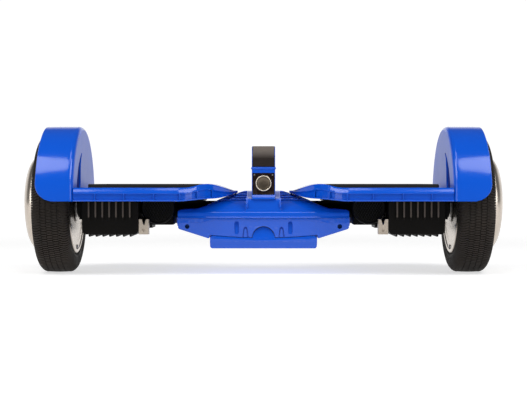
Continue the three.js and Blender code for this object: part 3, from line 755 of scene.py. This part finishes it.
def deck_section(x, recess, pocket):
    """The deck cover at x as a closed ring: a skin with a bevelled edge and a recessed, ribbed side."""
    w, top, low = deck_half_depth(x), deck_top(x), deck_bottom(x)
    height = top - low
    pocket_w = pocket_half_depth(x) if pocket else w * 0.9
    edge = min(4.2, w * 0.3, w - pocket_w - 0.6) if pocket else min(4.2, w * 0.3)
    shoulder = max(w - edge - min(2, w * 0.1), pocket_w + 0.3)
    bevel = min(7.0, height * 0.45)
    lip = min(1.6, height * 0.12)
    inner = deck_hollow(x)
    ceiling = deck_ceiling(x)
    floor = PAD_POCKET_Z if pocket else top
    outside = [
        (inner, low), (w - 0.5, low), (w - 0.12, low + 0.15), (w, low + 0.5), (w, low + lip),
        (w - recess, low + lip + 0.5), (w - recess, top - bevel - 0.5), (w - 0.1, top - bevel),
        (w, top - bevel + 0.6), (w - 0.5, top - bevel + 1.8), (w - edge * 0.45, top - bevel * 0.36),
        (w - edge * 0.8, top - bevel * 0.1), (w - edge, top - 0.12), (shoulder, top),
        (pocket_w + (0.25 if w > 84 else 0), top), (pocket_w, top - 0.3 if pocket else top),
        (pocket_w, floor), (pocket_w * 0.6, floor), (pocket_w * 0.2, floor),
    ]
    inside = [(inner, ceiling - 0.8), (inner - 0.8 * min(1, inner), ceiling), (inner * 0.6, ceiling),
              (inner * 0.2, ceiling)]
    return closed_ring(x, outside, inside)


def deck_cover():
    low, high = PAD_LOW.x - PAD_GAP, PAD_HIGH.x + PAD_GAP
    stations = [DECK_TIP + 1.5 * i for i in range(50)] + [110, 140, 180, 215, 219, DECK_HIGH.x]
    stations += [PAD_HIGH.x - step for step in (0, 0.5, 1.5, 3, 4.5, 6)]
    for rib in RIB_XS:
        stations += [rib - 0.7, rib - 0.45, rib + 0.45, rib + 0.7]
    stations = sorted(x for x in set(stations) if min(abs(x - low), abs(x - high)) > 0.6)
    stations = sorted(stations + [low - 0.5, low, low + 0.02, high - 0.02, high, high + 0.5])
    rings = []
    for x in stations:
        on_rib = any(abs(x - rib) < 0.5 for rib in RIB_XS)
        depth = 2.4 * between(x, 36, 60)
        rings.append(deck_section(x, 0.25 if on_rib else max(0.25, depth), low < x < high))
    return shade(loft(rings), 38)


def foot_pad():
    """A thick mat with a raised border and rows of rounded treads."""
    x0, x1 = PAD_LOW.x, PAD_HIGH.x
    half = PAD_HIGH.y
    base, top = PAD_LOW.z + 7.3, PAD_HIGH.z
    columns, rows = 130, 156
    corner = PAD_CORNER

    def inside(x, y):
        """Distance from the mat's outline, inwards."""
        dx, dy = min(x - x0, x1 - x), half - abs(y)
        if dx < corner and dy < corner:
            return corner - math.hypot(corner - dx, corner - dy)
        return min(dx, dy)

    def height(x, y):
        edge = inside(x, y)
        border = between(edge, 5.2, 6.4)
        wave = math.sin(TAU * (x - x0) / 9.2 + 1.6 * math.sin(TAU * y / 46))
        bars = between(wave, -0.55, -0.05) * between(abs(math.sin(TAU * y / 31.2)), 0.05, 0.2)
        roll = 1.1 * (1 - math.sqrt(max(0, 1 - (1 - min(edge, 1.1) / 1.1) ** 2)))
        return top - roll - border * (1.1 - 1.0 * bars)

    vertices = []
    for row in range(rows + 1):
        y = -half + 2 * half * row / rows
        for column in range(columns + 1):
            x = x0 + (x1 - x0) * column / columns
            edge = inside(x, y)
            px, py = x, y
            if edge < 0:
                cx = x0 + corner if x < (x0 + x1) / 2 else x1 - corner
                cy = math.copysign(half - corner, y)
                scale = corner / math.hypot(x - cx, y - cy)
                px, py = cx + (x - cx) * scale, cy + (y - cy) * scale
            vertices.append((px, py, height(px, py)))
    count = len(vertices)
    vertices += [(x, y, base) for x, y, _ in vertices]
    faces = grid_faces(rows + 1, columns + 1)
    faces += [tuple(i + count for i in reversed(face)) for face in faces]
    rim_loop = list(range(columns + 1))
    rim_loop += [r * (columns + 1) + columns for r in range(1, rows + 1)]
    rim_loop += [rows * (columns + 1) + c for c in range(columns - 1, -1, -1)]
    rim_loop += [r * (columns + 1) for r in range(rows - 1, 0, -1)]
    faces += [(a, b, b + count, a + count) for a, b in zip(rim_loop, rim_loop[1:] + rim_loop[:1])]
    return shade(new_piece(vertices, faces), 50)


# ---- centre

HALF = UPPER_HIGH.x
WALL_Y = 59.6
RAIL_X = 20
FLOOR_Z = UPPER_HIGH.z - 32.35
SLEEVE_ROOM = 15.5  # radius of the room for a deck's sleeve
TRAY_SCREW = (91, 58)
COVER_SCREW = (54, 43)
PLATE_SCREW = (10.8, 119.6)
TERRACES = (  # depth of each edge, with the height above it and below it
    (10.4, 99.6, 97.2), (16.4, 96.9, 94.3), (23.2, 94.0, 91.4), (30.6, 91.1, 88.5),
)
STEP_GAP = (1.1, 0.85)  # depth and height of the shadow gap below the nose of each step
HOUSING_OUTLINE = (
    (0, 100.5), (22, 100.5), (24.5, 100.1), (28, 98.9), (34, 97.1), (40, 95.2), (46, 93.2), (52, 90.9),
    (56, 89.1), (60, 87.1), (64, 85.1), (68, 83.3), (71, 82.2), (73.5, 81.4), (76, 80.4), (78, 79.6),
    (82, 79.2), (92, 78.8), (99, 78.2), (100.8, 77.5), (101.7, 76.3), (102, 74.8),
)
HOUSING_ROOF = ((30.6, 88.5), (35, 87.6), (42, 85.4), (48, 82.7), (53, 79.7), (56.4, 77.2), (57.3, 76.4))


def soft_low(a, b):
    """The lower of two heights, with a rounded join."""
    radius = 0.8
    gap = max(0, radius - abs(a - b)) / radius
    return min(a, b) - gap * gap * radius / 4


def roof_points(x):
    """(depth, height) over half of the roof: the shoulder, then terraces with a shadow gap under each."""
    depths = (56.4, 55, 53, 50.5, 48, 45, 42, 38.5, 35, 33)
    limit = along(HOUSING_OUTLINE, x)

    def lowered(depth, z):
        return depth, min(soft_low(z, limit), headroom(x, depth))

    points = [lowered(depth, along(HOUSING_ROOF, depth)) for depth in depths]
    for index, (edge, upper, lower) in enumerate(reversed(TERRACES)):
        gap = STEP_GAP[0] * between(min(limit, headroom(x, edge)), lower, lower + 3)
        step = [(edge + 1.6, lower), (edge + 0.4, lower + 0.15), (edge - gap, lower + 0.1),
                (edge - gap, lower + STEP_GAP[1]), (edge, lower + STEP_GAP[1] + 0.1), (edge, upper - 0.75),
                (edge - 0.22, upper - 0.3), (edge - 0.7, upper), (edge - 2.2, upper + 0.1)]
        points += [lowered(depth, z) for depth, z in step[1 if index == 0 else 0:]]
    return points + [lowered(depth, UPPER_HIGH.z) for depth in (7.5, 5, 2.5)]


def housing_section(x):
    """The housing's upper half at x, as a closed ring of (x, y, z) points."""
    foot = [(WALL_Y + 1.0, FLOOR_Z), (WALL_Y + 1.0, FLOOR_Z + 0.5), (WALL_Y + 0.95, FLOOR_Z + 0.6),
            (WALL_Y + 0.05, FLOOR_Z + 2.0), (WALL_Y, FLOOR_Z + 2.2), (WALL_Y, 72.8), (WALL_Y - 0.1, 73.6),
            (WALL_Y - 0.35, 74.3), (WALL_Y - 0.7, 74.9), (WALL_Y - 1.15, 75.4), (WALL_Y - 1.7, 75.85),
            (WALL_Y - 2.3, 76.3)]
    roof = roof_points(abs(x))
    inside = [(56, FLOOR_Z)] + [(max(0.5, min(56, y - 2)), max(69.5, z - 3)) for y, z in roof]
    return closed_ring(x, foot + roof, inside)


def spine():
    """The raised saddle that carries the handle, with rails that splay out towards the shoulder."""
    profile = [(WALL_Y - 1.2, FLOOR_Z), (WALL_Y - 1.2, 73), (WALL_Y - 1.5, 75), (WALL_Y - 2.0, 76.6),
               (WALL_Y - 2.4, 78.6), (WALL_Y - 2.6, 82.4), (56.9, 86.6), (56.5, 89.6), (55, 91.2), (47, 92.8),
               (40, 94), (30, 96.4), (20, 98.8), (12, 100.1), (8, UPPER_HIGH.z)]
    outline = mirrored(profile)
    rings = [[(side * (RAIL_X + 1.8 * (1 - between(z, 78, 93))), y, z) for y, z in outline] for side in WAYS]
    saddle = soften(loft(rings), 0.8, 3)
    rail = [(53, 88), (53.6, 92.6), (54.4, 92.6), (60.0, 83.2), (59.6, 81.6), (56, 78.6), (53, 78)]
    for way, side in CORNERS:
        outline = [(way * depth, z) for depth, z in rail]
        rib = prism(outline, "X", side * (RAIL_X - 1.0), side * (RAIL_X + 0.8))
        join(saddle, soften(rib, 0.3, 2))
    return shade(saddle)


def troughs(low):
    """Room for the decks' sleeves at the ends of the housing."""
    tools = []
    for side in WAYS:
        ends = side * 53.7, side * (HALF + 5)
        tools.append(rod("X", SLEEVE_ROOM, *ends, (0, TWIST_Z), 64))
        tools.append(block(ends, (-SLEEVE_ROOM, SLEEVE_ROOM), (low, 120)))
    return tools


def housing_top():
    stations = both_ways([*range(99), 99.4, 100.1, 100.8, 101.3, 101.7, 102])
    shell = loft([housing_section(x) for x in stations])
    pads = [block((side * 50 - 2, side * 50 + 2), (-20, 20), (FLOOR_Z, 86)) for side in WAYS]
    join(shell, spine(), *pads)
    tools = troughs(TWIST_Z)
    tools += [block((-14.4, 14.4), (side * 39.6, side * 56.4), (90, 110)) for side in WAYS]
    tools.append(rod("X", 8.4, -53, 53, (0, TWIST_Z), 32))
    return shade(cut(shell, *tools), 32)


def tray_section(x):
    """The housing's lower half at x, solid, as a closed ring of (x, y, z) points."""
    reach = abs(x)
    top = LOWER_HIGH.z
    low = 44.5 + 3.1 * (reach / 64) ** 2
    if reach >= 64:
        low = along(((64, 47.6), (65.2, LOWER_LOW.z), (66, LOWER_LOW.z), (67.2, 44.0), (100, 54.4),
                     (101.4, 55.2), (102, 56.2)), reach)
    band = along(((60, 66.2), (63, 65.9), (66, 65.2), (69, 64.1), (72, 63.1), (75, 62.5), (102, 62.2)), reach)
    outside = [(54, low), (55.6, low + 0.1), (56.3, low + 0.4), (56.7, low + 1.2), (58.4, band - 0.6),
               (58.5, band), (59.4, band + 0.3), (59.65, band + 0.45), (59.65, band + 0.6),
               (59.65, top - 0.6), (59.65, top - 0.45), (59.8, top - 0.3), (59.8, top)]
    return closed_ring(x, outside)


def bullet(x, half, low, high):
    """A tapered outline with a round top."""
    return [(x + half, low)] + arc((x, high - half * 0.55), half * 0.55, 0, 180, 12) + [(x - half, low)]


def housing_tray():
    stations = both_ways([0, 10, 20, 30, 40, 50, 58, *range(60, 67), 67.2, *range(68, 76), 80, 86, 93, 100,
                          100.8, 101.4, 102])
    tray = loft([tray_section(x) for x in stations])
    collars = []
    for side in WAYS:
        collar = rod("X", 17.5, side * (HALF - 0.5), side * LOWER_HIGH.x, (0, TWIST_Z), 64)
        collars.append(meet(collar, block((-120, 120), (-30, 30), (40, LOWER_HIGH.z))))
    join(tray, *collars)
    tools = [block((-61, 61), (-55.1, 55.1), (40, 70)), block((-98.6, 98.6), (-55.1, 55.1), (58.3, 70))]
    tools += troughs(TWIST_Z + 0.1)
    tools.append(rod("Y", 7.3, 50, 61, (0, 57), 40))
    return shade(soften(cut(tray, *tools, *tray_details()), 0.3, 2, 38))


def leaning(tool, way, base, low, high, shallow, deep):
    """Leans the inner end of a cutter from one depth at its lower edge to another at its upper edge."""
    for vertex in tool.data.vertices:
        if vertex.co.y * way < (base - 1) * MM:
            vertex.co.y = way * (shallow + (deep - shallow) * between(vertex.co.z / MM, low, high)) * MM
    return tool


def tray_details():
    """Cutters for the slots, bosses and screw seats in the two long faces of the tray."""
    tools = []
    for way in WAYS:
        face = way * 58.1
        ends = face - way * 3, face + way * 2
        for side in WAYS:
            slot = prism(rounded((side * 32 - 2.7, side * 32 + 2.7), (48.7, 64.2), 2.69), "Y", *ends)
            frame_cut = prism(bullet(side * 21.5, 4.2, 44.5, 57.8), "Y", *ends)
            core = prism(bullet(side * 21.5, 2.2, 44.4, 55.4), "Y", *ends)
            tools.append(leaning(slot, way, 58, 48.7, 64.2, 56.2, 55.5))
            tools.append(cut(leaning(frame_cut, way, 58, 44.5, 57.8, 55.6, 55.5), core))
            seat = side * TRAY_SCREW[0], TRAY_SCREW[1]
            tools.append(rod("Y", 2.8, face - way * 9, face + way * 3, seat, 32))
        recess = [(13.7, 40), *arc((0, 44.6), 13.7, 0, 180, 32), (-13.7, 40)]
        tools.append(prism(recess, "Y", face - way * 7, face + way * 2))
    return tools


def cover_section(x):
    """The battery cover at x, solid, as a closed ring of (x, y, z) points."""
    reach = abs(x) / COVER_HIGH.x
    top = COVER_HIGH.z - 3.1 * (1 - reach ** 2)
    low = COVER_LOW.z + 3 - math.sqrt(max(0, 9 - max(0, abs(x) - COVER_HIGH.x + 3) ** 2))
    outside = [(48, low), (51.2, low), (52.2, low + 0.3), (52.8, low + 1), (56.2, 39.2), (56.8, 40.4),
               (57, 41.2), (56.5, top - 0.5), (56.2, top)]
    return closed_ring(x, [(y, max(z, low)) for y, z in outside])


def battery_cover():
    high, low = COVER_HIGH.x, COVER_LOW.z
    stations = both_ways([2.5 * i for i in range(25)] + [61, 61.6, 62.2, 62.8, 63.3, 63.7, 63.9, 64])
    cover = loft([cover_section(x) for x in stations])
    tabs = []
    for way in WAYS:
        wedge = [(way * 49, 42), (way * 56.5, 42), (way * 56.3, 45), (way * 54.2, 57.6), (way * 49, 57.6)]
        tab = prism(arc((0, 43.9), 13.3, 0, 180, 32), "Y", way * 48, way * 58)
        tabs.append(meet(tab, prism(wedge, "X", -14, 14)))
    join(cover, *tabs)
    tools = [block((-61, 61), (-53, 53), (low + 3, 60))]
    for way, side in CORNERS:
        tools.append(block((side * (high - 2.2), side * (high + 1)), (way * 54.5, way * 60), (45.2, 50)))
        tools.append(rod("Z", 3.6, low - 1, low + 1.6, (side * COVER_SCREW[0], way * COVER_SCREW[1]), 32))
        panel = rounded(sorted((side * 12, side * 44)), sorted((way * 12, way * 44)), 4)
        tools.append(prism(panel, "Z", low - 1, low + 0.8))
    return shade(soften(cut(cover, *tools), 0.35, 2, 35))


def cover_screws():
    centres = [(side * COVER_SCREW[0], way * COVER_SCREW[1]) for way, side in CORNERS]
    return shade(join(*(socket_head("Z", centre, COVER_LOW.z + 1.7, -1, 3, 1.4) for centre in centres)), 30)


def socket_head(axis, centre, base, way, radius, height, sides=24):
    """A round screw head with a hexagonal socket, its top facing along way on an axis."""
    top = base + way * height
    levels = ((radius, base), (radius, top - way * 0.35), (radius - 0.35, top))
    head = loft([[place(axis, *point, level) for point in arc(centre, r, 0, 360, sides)[:-1]]
                 for r, level in levels])
    return cut(head, rod(axis, radius * 0.5, top - way * height * 0.6, top + way, centre, 6))


# ---- handle

GRIP_END_Z = 129
PANEL_Z = (95.8, 122)
CORNER = 17  # radius of the handle's top corners
SEAT = 13.3  # half width of the seats for the grip and the switch panel
PLATE = 13.1  # half width of the grip and the switch panel
BARREL = 9.1  # radius of the hole for the button's barrel
FRONT_Y = -HANDLE_HIGH.y


def arch(depth, top, corner, foot, steps=16):
    half = [(depth, foot)] + arc((depth - corner, top - corner), corner, 0, 90, steps)
    return mirrored(half)


def handle():
    """The carry handle: an arch with a belt, a groove for its grip and a seat for the switch panel."""
    depth, top, half, low = HANDLE_HIGH.y, HANDLE_HIGH.z, HANDLE_HIGH.x, HANDLE_LOW.z
    body = prism(arch(depth, top, CORNER, low), "X", -half, half)
    cut(body, prism(arch(depth - 16, top - 12, 10, 0), "X", -20, 20))
    flare = [(depth - 2, low), (depth + 3, low), (depth + 2.1, 92.6), (depth, 95.6), (depth - 2, 95.6)]
    join(body, *(prism([(way * y, z) for y, z in flare], "X", -half, half) for way in WAYS))
    soften(body, 0.7, 3)
    belts = [block((-half - 0.9, half + 0.9), (way * (depth + 0.8), way * (depth - 16.8)), (126.2, 128.8))
             for way in WAYS]
    join(body, soften(join(*belts), 0.8, 3))
    band = prism(arch(depth + 2, top + 2, CORNER, GRIP_END_Z), "X", -SEAT, SEAT)
    cut(band, prism(arch(depth - 2, top - 2, CORNER - 2, 0), "X", -20, 20))
    seat = block((-SEAT, SEAT), (FRONT_Y - 2, FRONT_Y + 2), PANEL_Z)
    barrel = rod("Y", BARREL, FRONT_Y - 1, FRONT_Y + 13, (0, BUTTON_Z), 48)
    return shade(cut(body, band, seat, barrel), 32)


def grip():
    depth, top = HANDLE_HIGH.y, HANDLE_HIGH.z
    band = prism(arch(depth - 0.1, top, CORNER, GRIP_END_Z + 0.3, 24), "X", -PLATE, PLATE)
    cut(band, prism(arch(depth - 1.9, top - 1.9, CORNER - 1.9, 0, 24), "X", -20, 20))
    return shade(soften(band, 0.6, 3))


def switch_panel():
    plate = block((-PLATE, PLATE), (FRONT_Y - 0.1, FRONT_Y + 1.7), (PANEL_Z[0] + 0.3, PANEL_Z[1] - 0.3))
    soften(plate, 0.5, 3)
    tools = [rod("Y", BARREL, FRONT_Y - 1, FRONT_Y + 3, (0, BUTTON_Z), 64)]
    for side in WAYS:
        tools.append(rod("Y", 1.3, FRONT_Y - 1, FRONT_Y + 1, (side * PLATE_SCREW[0], PLATE_SCREW[1]), 20))
    return shade(cut(plate, *tools), 32)


def button_ring():
    front = RING_LOW.y
    profile = [(8, front + 0.9), (8.15, front + 0.35), (8.5, front + 0.06), (8.8, front), (9.1, front + 0.1),
               (9.4, front + 0.4), (9.55, front + 0.8), (9.6, front + 1.35), (8.8, front + 1.4),
               (8.8, RING_HIGH.y), (8, RING_HIGH.y)]
    return shade(lathe("Y", profile, (0, BUTTON_Z), 96), 40)


def power_button():
    """A dished button with an engraved ring and bar."""
    front, back = BUTTON_LOW.y, BUTTON_HIGH.y
    profile = [(0.01, front + 0.95), (2, front + 0.93), (4, front + 0.78), (5.6, front + 0.5),
               (6.6, front + 0.18), (7.1, front), (7.45, front + 0.12), (7.6, front + 0.5), (7.6, back),
               (0.01, back)]
    button = lathe("Y", profile, (0, BUTTON_Z), 96)
    outer, inner = arc((0, BUTTON_Z), 2.7, 125, 415, 28), arc((0, BUTTON_Z), 2.1, 415, 125, 28)
    mark = prism(outer + inner, "Y", front + 0.2, front + 1.25)
    bar = block((-0.32, 0.32), (front + 0.2, front + 1.25), (BUTTON_Z + 0.4, BUTTON_Z + 3.4))
    return shade(cut(button, mark, bar), 32)


def charge_port():
    """A round socket with a flange, a keyed recess and three pins, in the rear wall."""
    low, high = span("charge_port")
    centre = (low.z + high.z) / 2
    profile = [(5.2, high.y), (6.4, high.y), (8.3, high.y - 0.2), (8.8, high.y - 0.7), (9, high.y - 1.6),
               (7, high.y - 1.7), (7, low.y), (0.01, low.y), (0.01, low.y + 4), (4.8, low.y + 4)]
    body = lathe("Y", profile, (0, centre), 64)
    pins = [rod("Y", 0.9, low.y + 3, high.y - 3, (2.4 * math.cos(a), centre + 2.4 * math.sin(a)), 16)
            for a in (TAU / 4, TAU * 7 / 12, TAU * 11 / 12)]
    return shade(join(body, *pins), 32)


def centre():
    for shape, name, look, slot, *nodes in (
        (housing_top(), "centre_housing_top", BLUE, "blue_plastic", "housing_upper"),
        (housing_tray(), "centre_housing_tray", BLUE, "blue_plastic", "housing_lower"),
        (battery_cover(), "battery_door", BLUE, "blue_plastic", "battery_cover"),
        (cover_screws(), "battery_door_screws", STEEL, "steel"),
        (handle(), "carry_handle", BLUE, "blue_plastic", "handle_frame"),
        (grip(), "handle_wrap", GRIP_RUBBER, "rubber", "handle_grip"),
        (switch_panel(), "switch_plate", BLACK_GLOSS, "black_plastic", "switch_panel"),
        (button_ring(), "switch_bezel", RING_METAL, "ring_steel", "button_ring"),
        (charge_port(), "charge_socket", BLACK, "black_plastic", "charge_port"),
    ):
        settle(shape, name, "centre", look, slot, *nodes)
    settle(power_button(), "switch_button", "power_button", BUTTON_METAL, "button_metal", "power_button")
    for side, sign in SIDES:
        spot = sign * PLATE_SCREW[0], PLATE_SCREW[1]
        screw = shade(socket_head("Y", spot, FRONT_Y + 0.9, -1, 1.1, 0.8, 16), 30)
        settle(screw, f"plate_screw_{side}", "centre", STEEL, "steel", f"panel_screw_{side}")
        for end, way in (("front", -1), ("rear", 1)):
            spot = sign * TRAY_SCREW[0], TRAY_SCREW[1]
            head = shade(socket_head("Y", spot, way * 50, way, 2.8, 3), 30)
            spot_name = f"screw_{end}_{side}"
            settle(head, f"tray_{spot_name}", "centre", DARK_STEEL, "steel", f"housing_{spot_name}")


# ---- under the decks

POST_Y = -57.5  # where the clamp's post ends and its bar begins
BAR_INNER_X = 141
FIN_XS = [158 + 8.1 * index for index in range(7)]


def control_box():
    """A cast box with cooling fins round its front, underside and back."""
    low_x, high_x = BOX_LOW.x, BOX_HIGH.x
    top, low = BOX_HIGH.z, BOX_LOW.z + 3
    half = BOX_HIGH.y - 2.5
    corner = 5
    outline = [(low_x, top), *arc((low_x + corner, low + corner), corner, 180, 270, 8),
               *arc((high_x - corner, low + corner), corner, 270, 360, 8), (high_x, top)]
    body = soften(prism(outline, "Y", -half, half), 1.2, 3, 50)
    fin = mirrored([(half + 2.5, top), (half + 2.5, top - 17.5), (half + 2.1, top - 19),
                    (half + 1.0, top - 21), (half - 0.2, top - 23), (half - 1, top - 26),
                    (half - 2, low + 1), (half - 4, low - 1.2), (half - 5.5, low - 2.4), (half - 7, low - 3)])
    join(body, *(soften(prism(fin, "X", x - 1.1, x + 1.1), 0.7, 3, 50) for x in FIN_XS))
    inner = half - 3
    hollow = block((low_x + 3, high_x - 3), (-inner, inner), (low + 3, top + 1))
    cut(body, hollow, block((low_x - 1, high_x + 1), (-20, 20), (TWIST_Z - 2, top + 1)))
    return shade(body, 32)


def speaker():
    """A round grille with staggered holes over a dark cone, in a pressed ring."""
    x, z = (SPEAKER_LOW.x + SPEAKER_HIGH.x) / 2, (SPEAKER_LOW.z + SPEAKER_HIGH.z) / 2
    front, back = SPEAKER_LOW.y, SPEAKER_HIGH.y
    radius = SPEAKER_HIGH.x - x
    profile = [(0.01, front + 0.5), (8, front + 0.55), (14, front + 0.8), (16.6, front + 1.1),
               (17, front + 0.7), (17.4, front + 0.2), (18, front), (18.8, front + 0.15),
               (radius - 0.2, front + 0.7), (radius, front + 1.6), (radius, back), (0.01, back)]
    grille = lathe("Y", profile, (x, z), 96)
    pitch = 3.2
    steps = [(pitch * (column + 0.5 * (row % 2)), pitch * 0.866 * row) for row in range(-6, 7)
             for column in range(-6, 7)]
    sides = 10
    vertices, faces = [], []
    for u, v in (step for step in steps if math.hypot(*step) < 15.6):
        start = len(vertices)
        circle = arc((x + u, z + v), 1.05, 0, 360, sides)[:-1]
        vertices += [(a, y, b) for y in (front - 1, front + 2.6) for a, b in circle]
        near = list(range(start, start + sides))
        beside = near[1:] + near[:1]
        faces += [(a, b, b + sides, a + sides) for a, b in zip(near, beside)]
        faces += [tuple(reversed(near)), tuple(a + sides for a in near)]
    return shade(cut(grille, new_piece(vertices, faces)), 32)


def speaker_box():
    low, high = span("right_speaker_box")
    return shade(soften(block((low.x, high.x), (low.y, high.y), (low.z, high.z)), 1.2, 3), 40)


def shaft_clamp():
    """A painted bar under the deck with a cradle for the sleeve."""
    low_x, high_x, high = CLAMP_LOW.x, CLAMP_HIGH.x, CLAMP_HIGH.z
    body = block((BAR_INNER_X, high_x), (POST_Y, CLAMP_HIGH.y), (58, high))
    join(body, block((low_x, high_x), (-22, 22), (55, high)))
    cradle = rod("X", 14.3, low_x - 1, high_x + 1, (0, TWIST_Z), 64)
    bores = [rod("Z", 2.2, 50, 60, ((low_x + high_x) / 2, depth), 24) for depth in (-18, 18)]
    channel = block((BAR_INNER_X + 1.6, high_x - 1.6), (-80, 80), (61, high + 1))
    return shade(soften(cut(body, cradle, channel, *bores), 0.5, 3))


def clamp_post():
    """The bare split post at the front end of the bar."""
    low_x, high_x, low, high = CLAMP_LOW.x, CLAMP_HIGH.x, CLAMP_LOW.z, CLAMP_HIGH.z
    post = block((low_x, high_x), (CLAMP_LOW.y, POST_Y), (low, high))
    wedge = [(low_x + 3.0, high + 1), (low_x + 5.0, 60.5), (low_x + 6.4, 60.5), (low_x + 8.4, high + 1)]
    slot = prism(wedge, "Y", -80, 80)
    bore = rod("Y", 1.5, -80, CLAMP_LOW.y + 2, ((low_x + high_x) / 2, 54), 24)
    return shade(soften(cut(post, slot, bore), 0.9, 3))


def decks():
    for shape, name, look, slot, *nodes in (
        (fender(), "wheel_fender", BLUE, "blue_plastic", "SIDE_fender"),
        (light_lens(), "light_lens", LENS, "blue_plastic"),
        (deck_cover(), "deck_shell", BLUE, "blue_plastic", "SIDE_deck_cover"),
        (control_box(), "drive_box", FIN_ALLOY, "finned_alloy", "SIDE_control_box"),
        (speaker(), "speaker_grille", BLACK, "black_plastic", "SIDE_speaker"),
        (speaker_box(), "speaker_case", BLACK, "black_plastic", "SIDE_speaker_box"),
        (shaft_clamp(), "sleeve_clamp", BLACK_ALLOY, "black_alloy", "SIDE_shaft_clamp"),
        (clamp_post(), "clamp_post", CAST, "bare_aluminium"),
    ):
        both_sides(shape, name, "SIDE_deck", look, slot, *nodes)
    both_sides(foot_pad(), "foot_mat", "SIDE_pad", PAD_RUBBER, "rubber", "SIDE_foot_pad")


# ---- frame nodes

CAD_LOOKS = {
    "deck_frame": BLACK_ALLOY, "stator": COPPER, "twist_bush": BRONZE, "controller_board": BOARD,
    "foot_sensor_board": BOARD, "battery_board": BOARD, "battery_pack": BATTERY_WRAP, "switch_body": BLACK,
}


def frame_nodes():
    """Dresses the CAD nodes; those that stay in the model are steel unless CAD_LOOKS says otherwise."""
    for name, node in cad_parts.items():
        kind = name.removeprefix("left_").removeprefix("right_")
        dress(node, CAD_LOOKS.get(kind, STEEL))


# ---- studio

CEILING_GLOW = 0.09
FRONT_GLOW = 0.08
BACKDROP_GLOW = 0.95


def area_light(name, power, size, location, target, shape):
    light = bpy.data.lights.new(name, "AREA")
    light.shape = shape
    light.size, light.size_y = size
    light.energy = power
    lamp = bpy.data.objects.new(name, light)
    lamp.location = location
    lamp.rotation_euler = (Vector(target) - Vector(location)).to_track_quat("-Z", "Y").to_euler()
    bpy.context.scene.collection.objects.link(lamp)


def world_light():
    """A dim studio with a bright backdrop low down behind the object."""
    world = bpy.data.worlds.new("studio")
    bpy.context.scene.world = world
    sky = Nodes(world, "Background")
    behind = sky.step(sky.part("Y", "Generated"), 0.1, 0.7, FRONT_GLOW, BACKDROP_GLOW)
    low_down = sky.step(sky.maths("ABSOLUTE", sky.part("Z", "Generated")), 0.22, 0.6, 1, 0)
    sky.link(sky.maths("ADD", sky.maths("MULTIPLY", behind, low_down), CEILING_GLOW), "Strength")
    sky.set("Color", (1, 1, 1, 1))


def studio():
    scene = bpy.context.scene
    world_light()
    for side, sign in SIDES:
        area_light(f"{side}_key", 15, (1.06, 1.06), (sign * 0.92, -0.8, 1.41), (sign * 0.25, 0, 0.1), "DISK")
        area_light(f"{side}_fill", 7, (0.8, 1.0), (sign * 1.7, -1.3, 0.55), (0, 0, 0.1), "RECTANGLE")
    area_light("centre_key", 3.5, (0.5, 0.6), (0, -0.5, 1.5), (0, 0, 0.1), "RECTANGLE")

    corners = [(-9000, -6000, 0), (9000, -6000, 0), (9000, 9000, 0), (-9000, 9000, 0)]
    floor = new_piece(corners, [(0, 1, 2, 3)])
    floor.name = "floor"
    pale = Nodes(bpy.data.materials.new("pale_floor"))
    pale.link(pale.blend(pale.noise(3, 3), (0.5, 0.5, 0.5, 1), (0.54, 0.54, 0.54, 1)), "Base Color")
    pale.set("Roughness", 0.8)
    pale.set("Emission Color", (1, 1, 1, 1))
    # The floor glows by itself: more the further it is from the middle, and much less in front, towards the
    # camera.
    spot = pale.add("ShaderNodeVectorMath", {0: pale.place()}, operation="LENGTH").outputs["Value"]
    front = pale.remap(pale.part("Y"), -1.2, -0.9, 0.15, 1)
    pale.link(pale.maths("MULTIPLY", pale.remap(spot, 0.8, 1.9, 0.62, 0.97), front), "Emission Strength")
    dress(floor, pale.material)

    lens = bpy.data.cameras.new("camera")
    lens.lens = 81.5
    lens.sensor_width = 36
    camera = bpy.data.objects.new("camera", lens)
    camera.location = (0.0, -1.48, 0.111)
    camera.rotation_euler = (math.radians(90 - 0.86), 0, 0)
    scene.collection.objects.link(camera)
    scene.camera = camera
    scene.view_settings.view_transform = "Standard"


frame_nodes()
wheels()
decks()
centre()
studio()
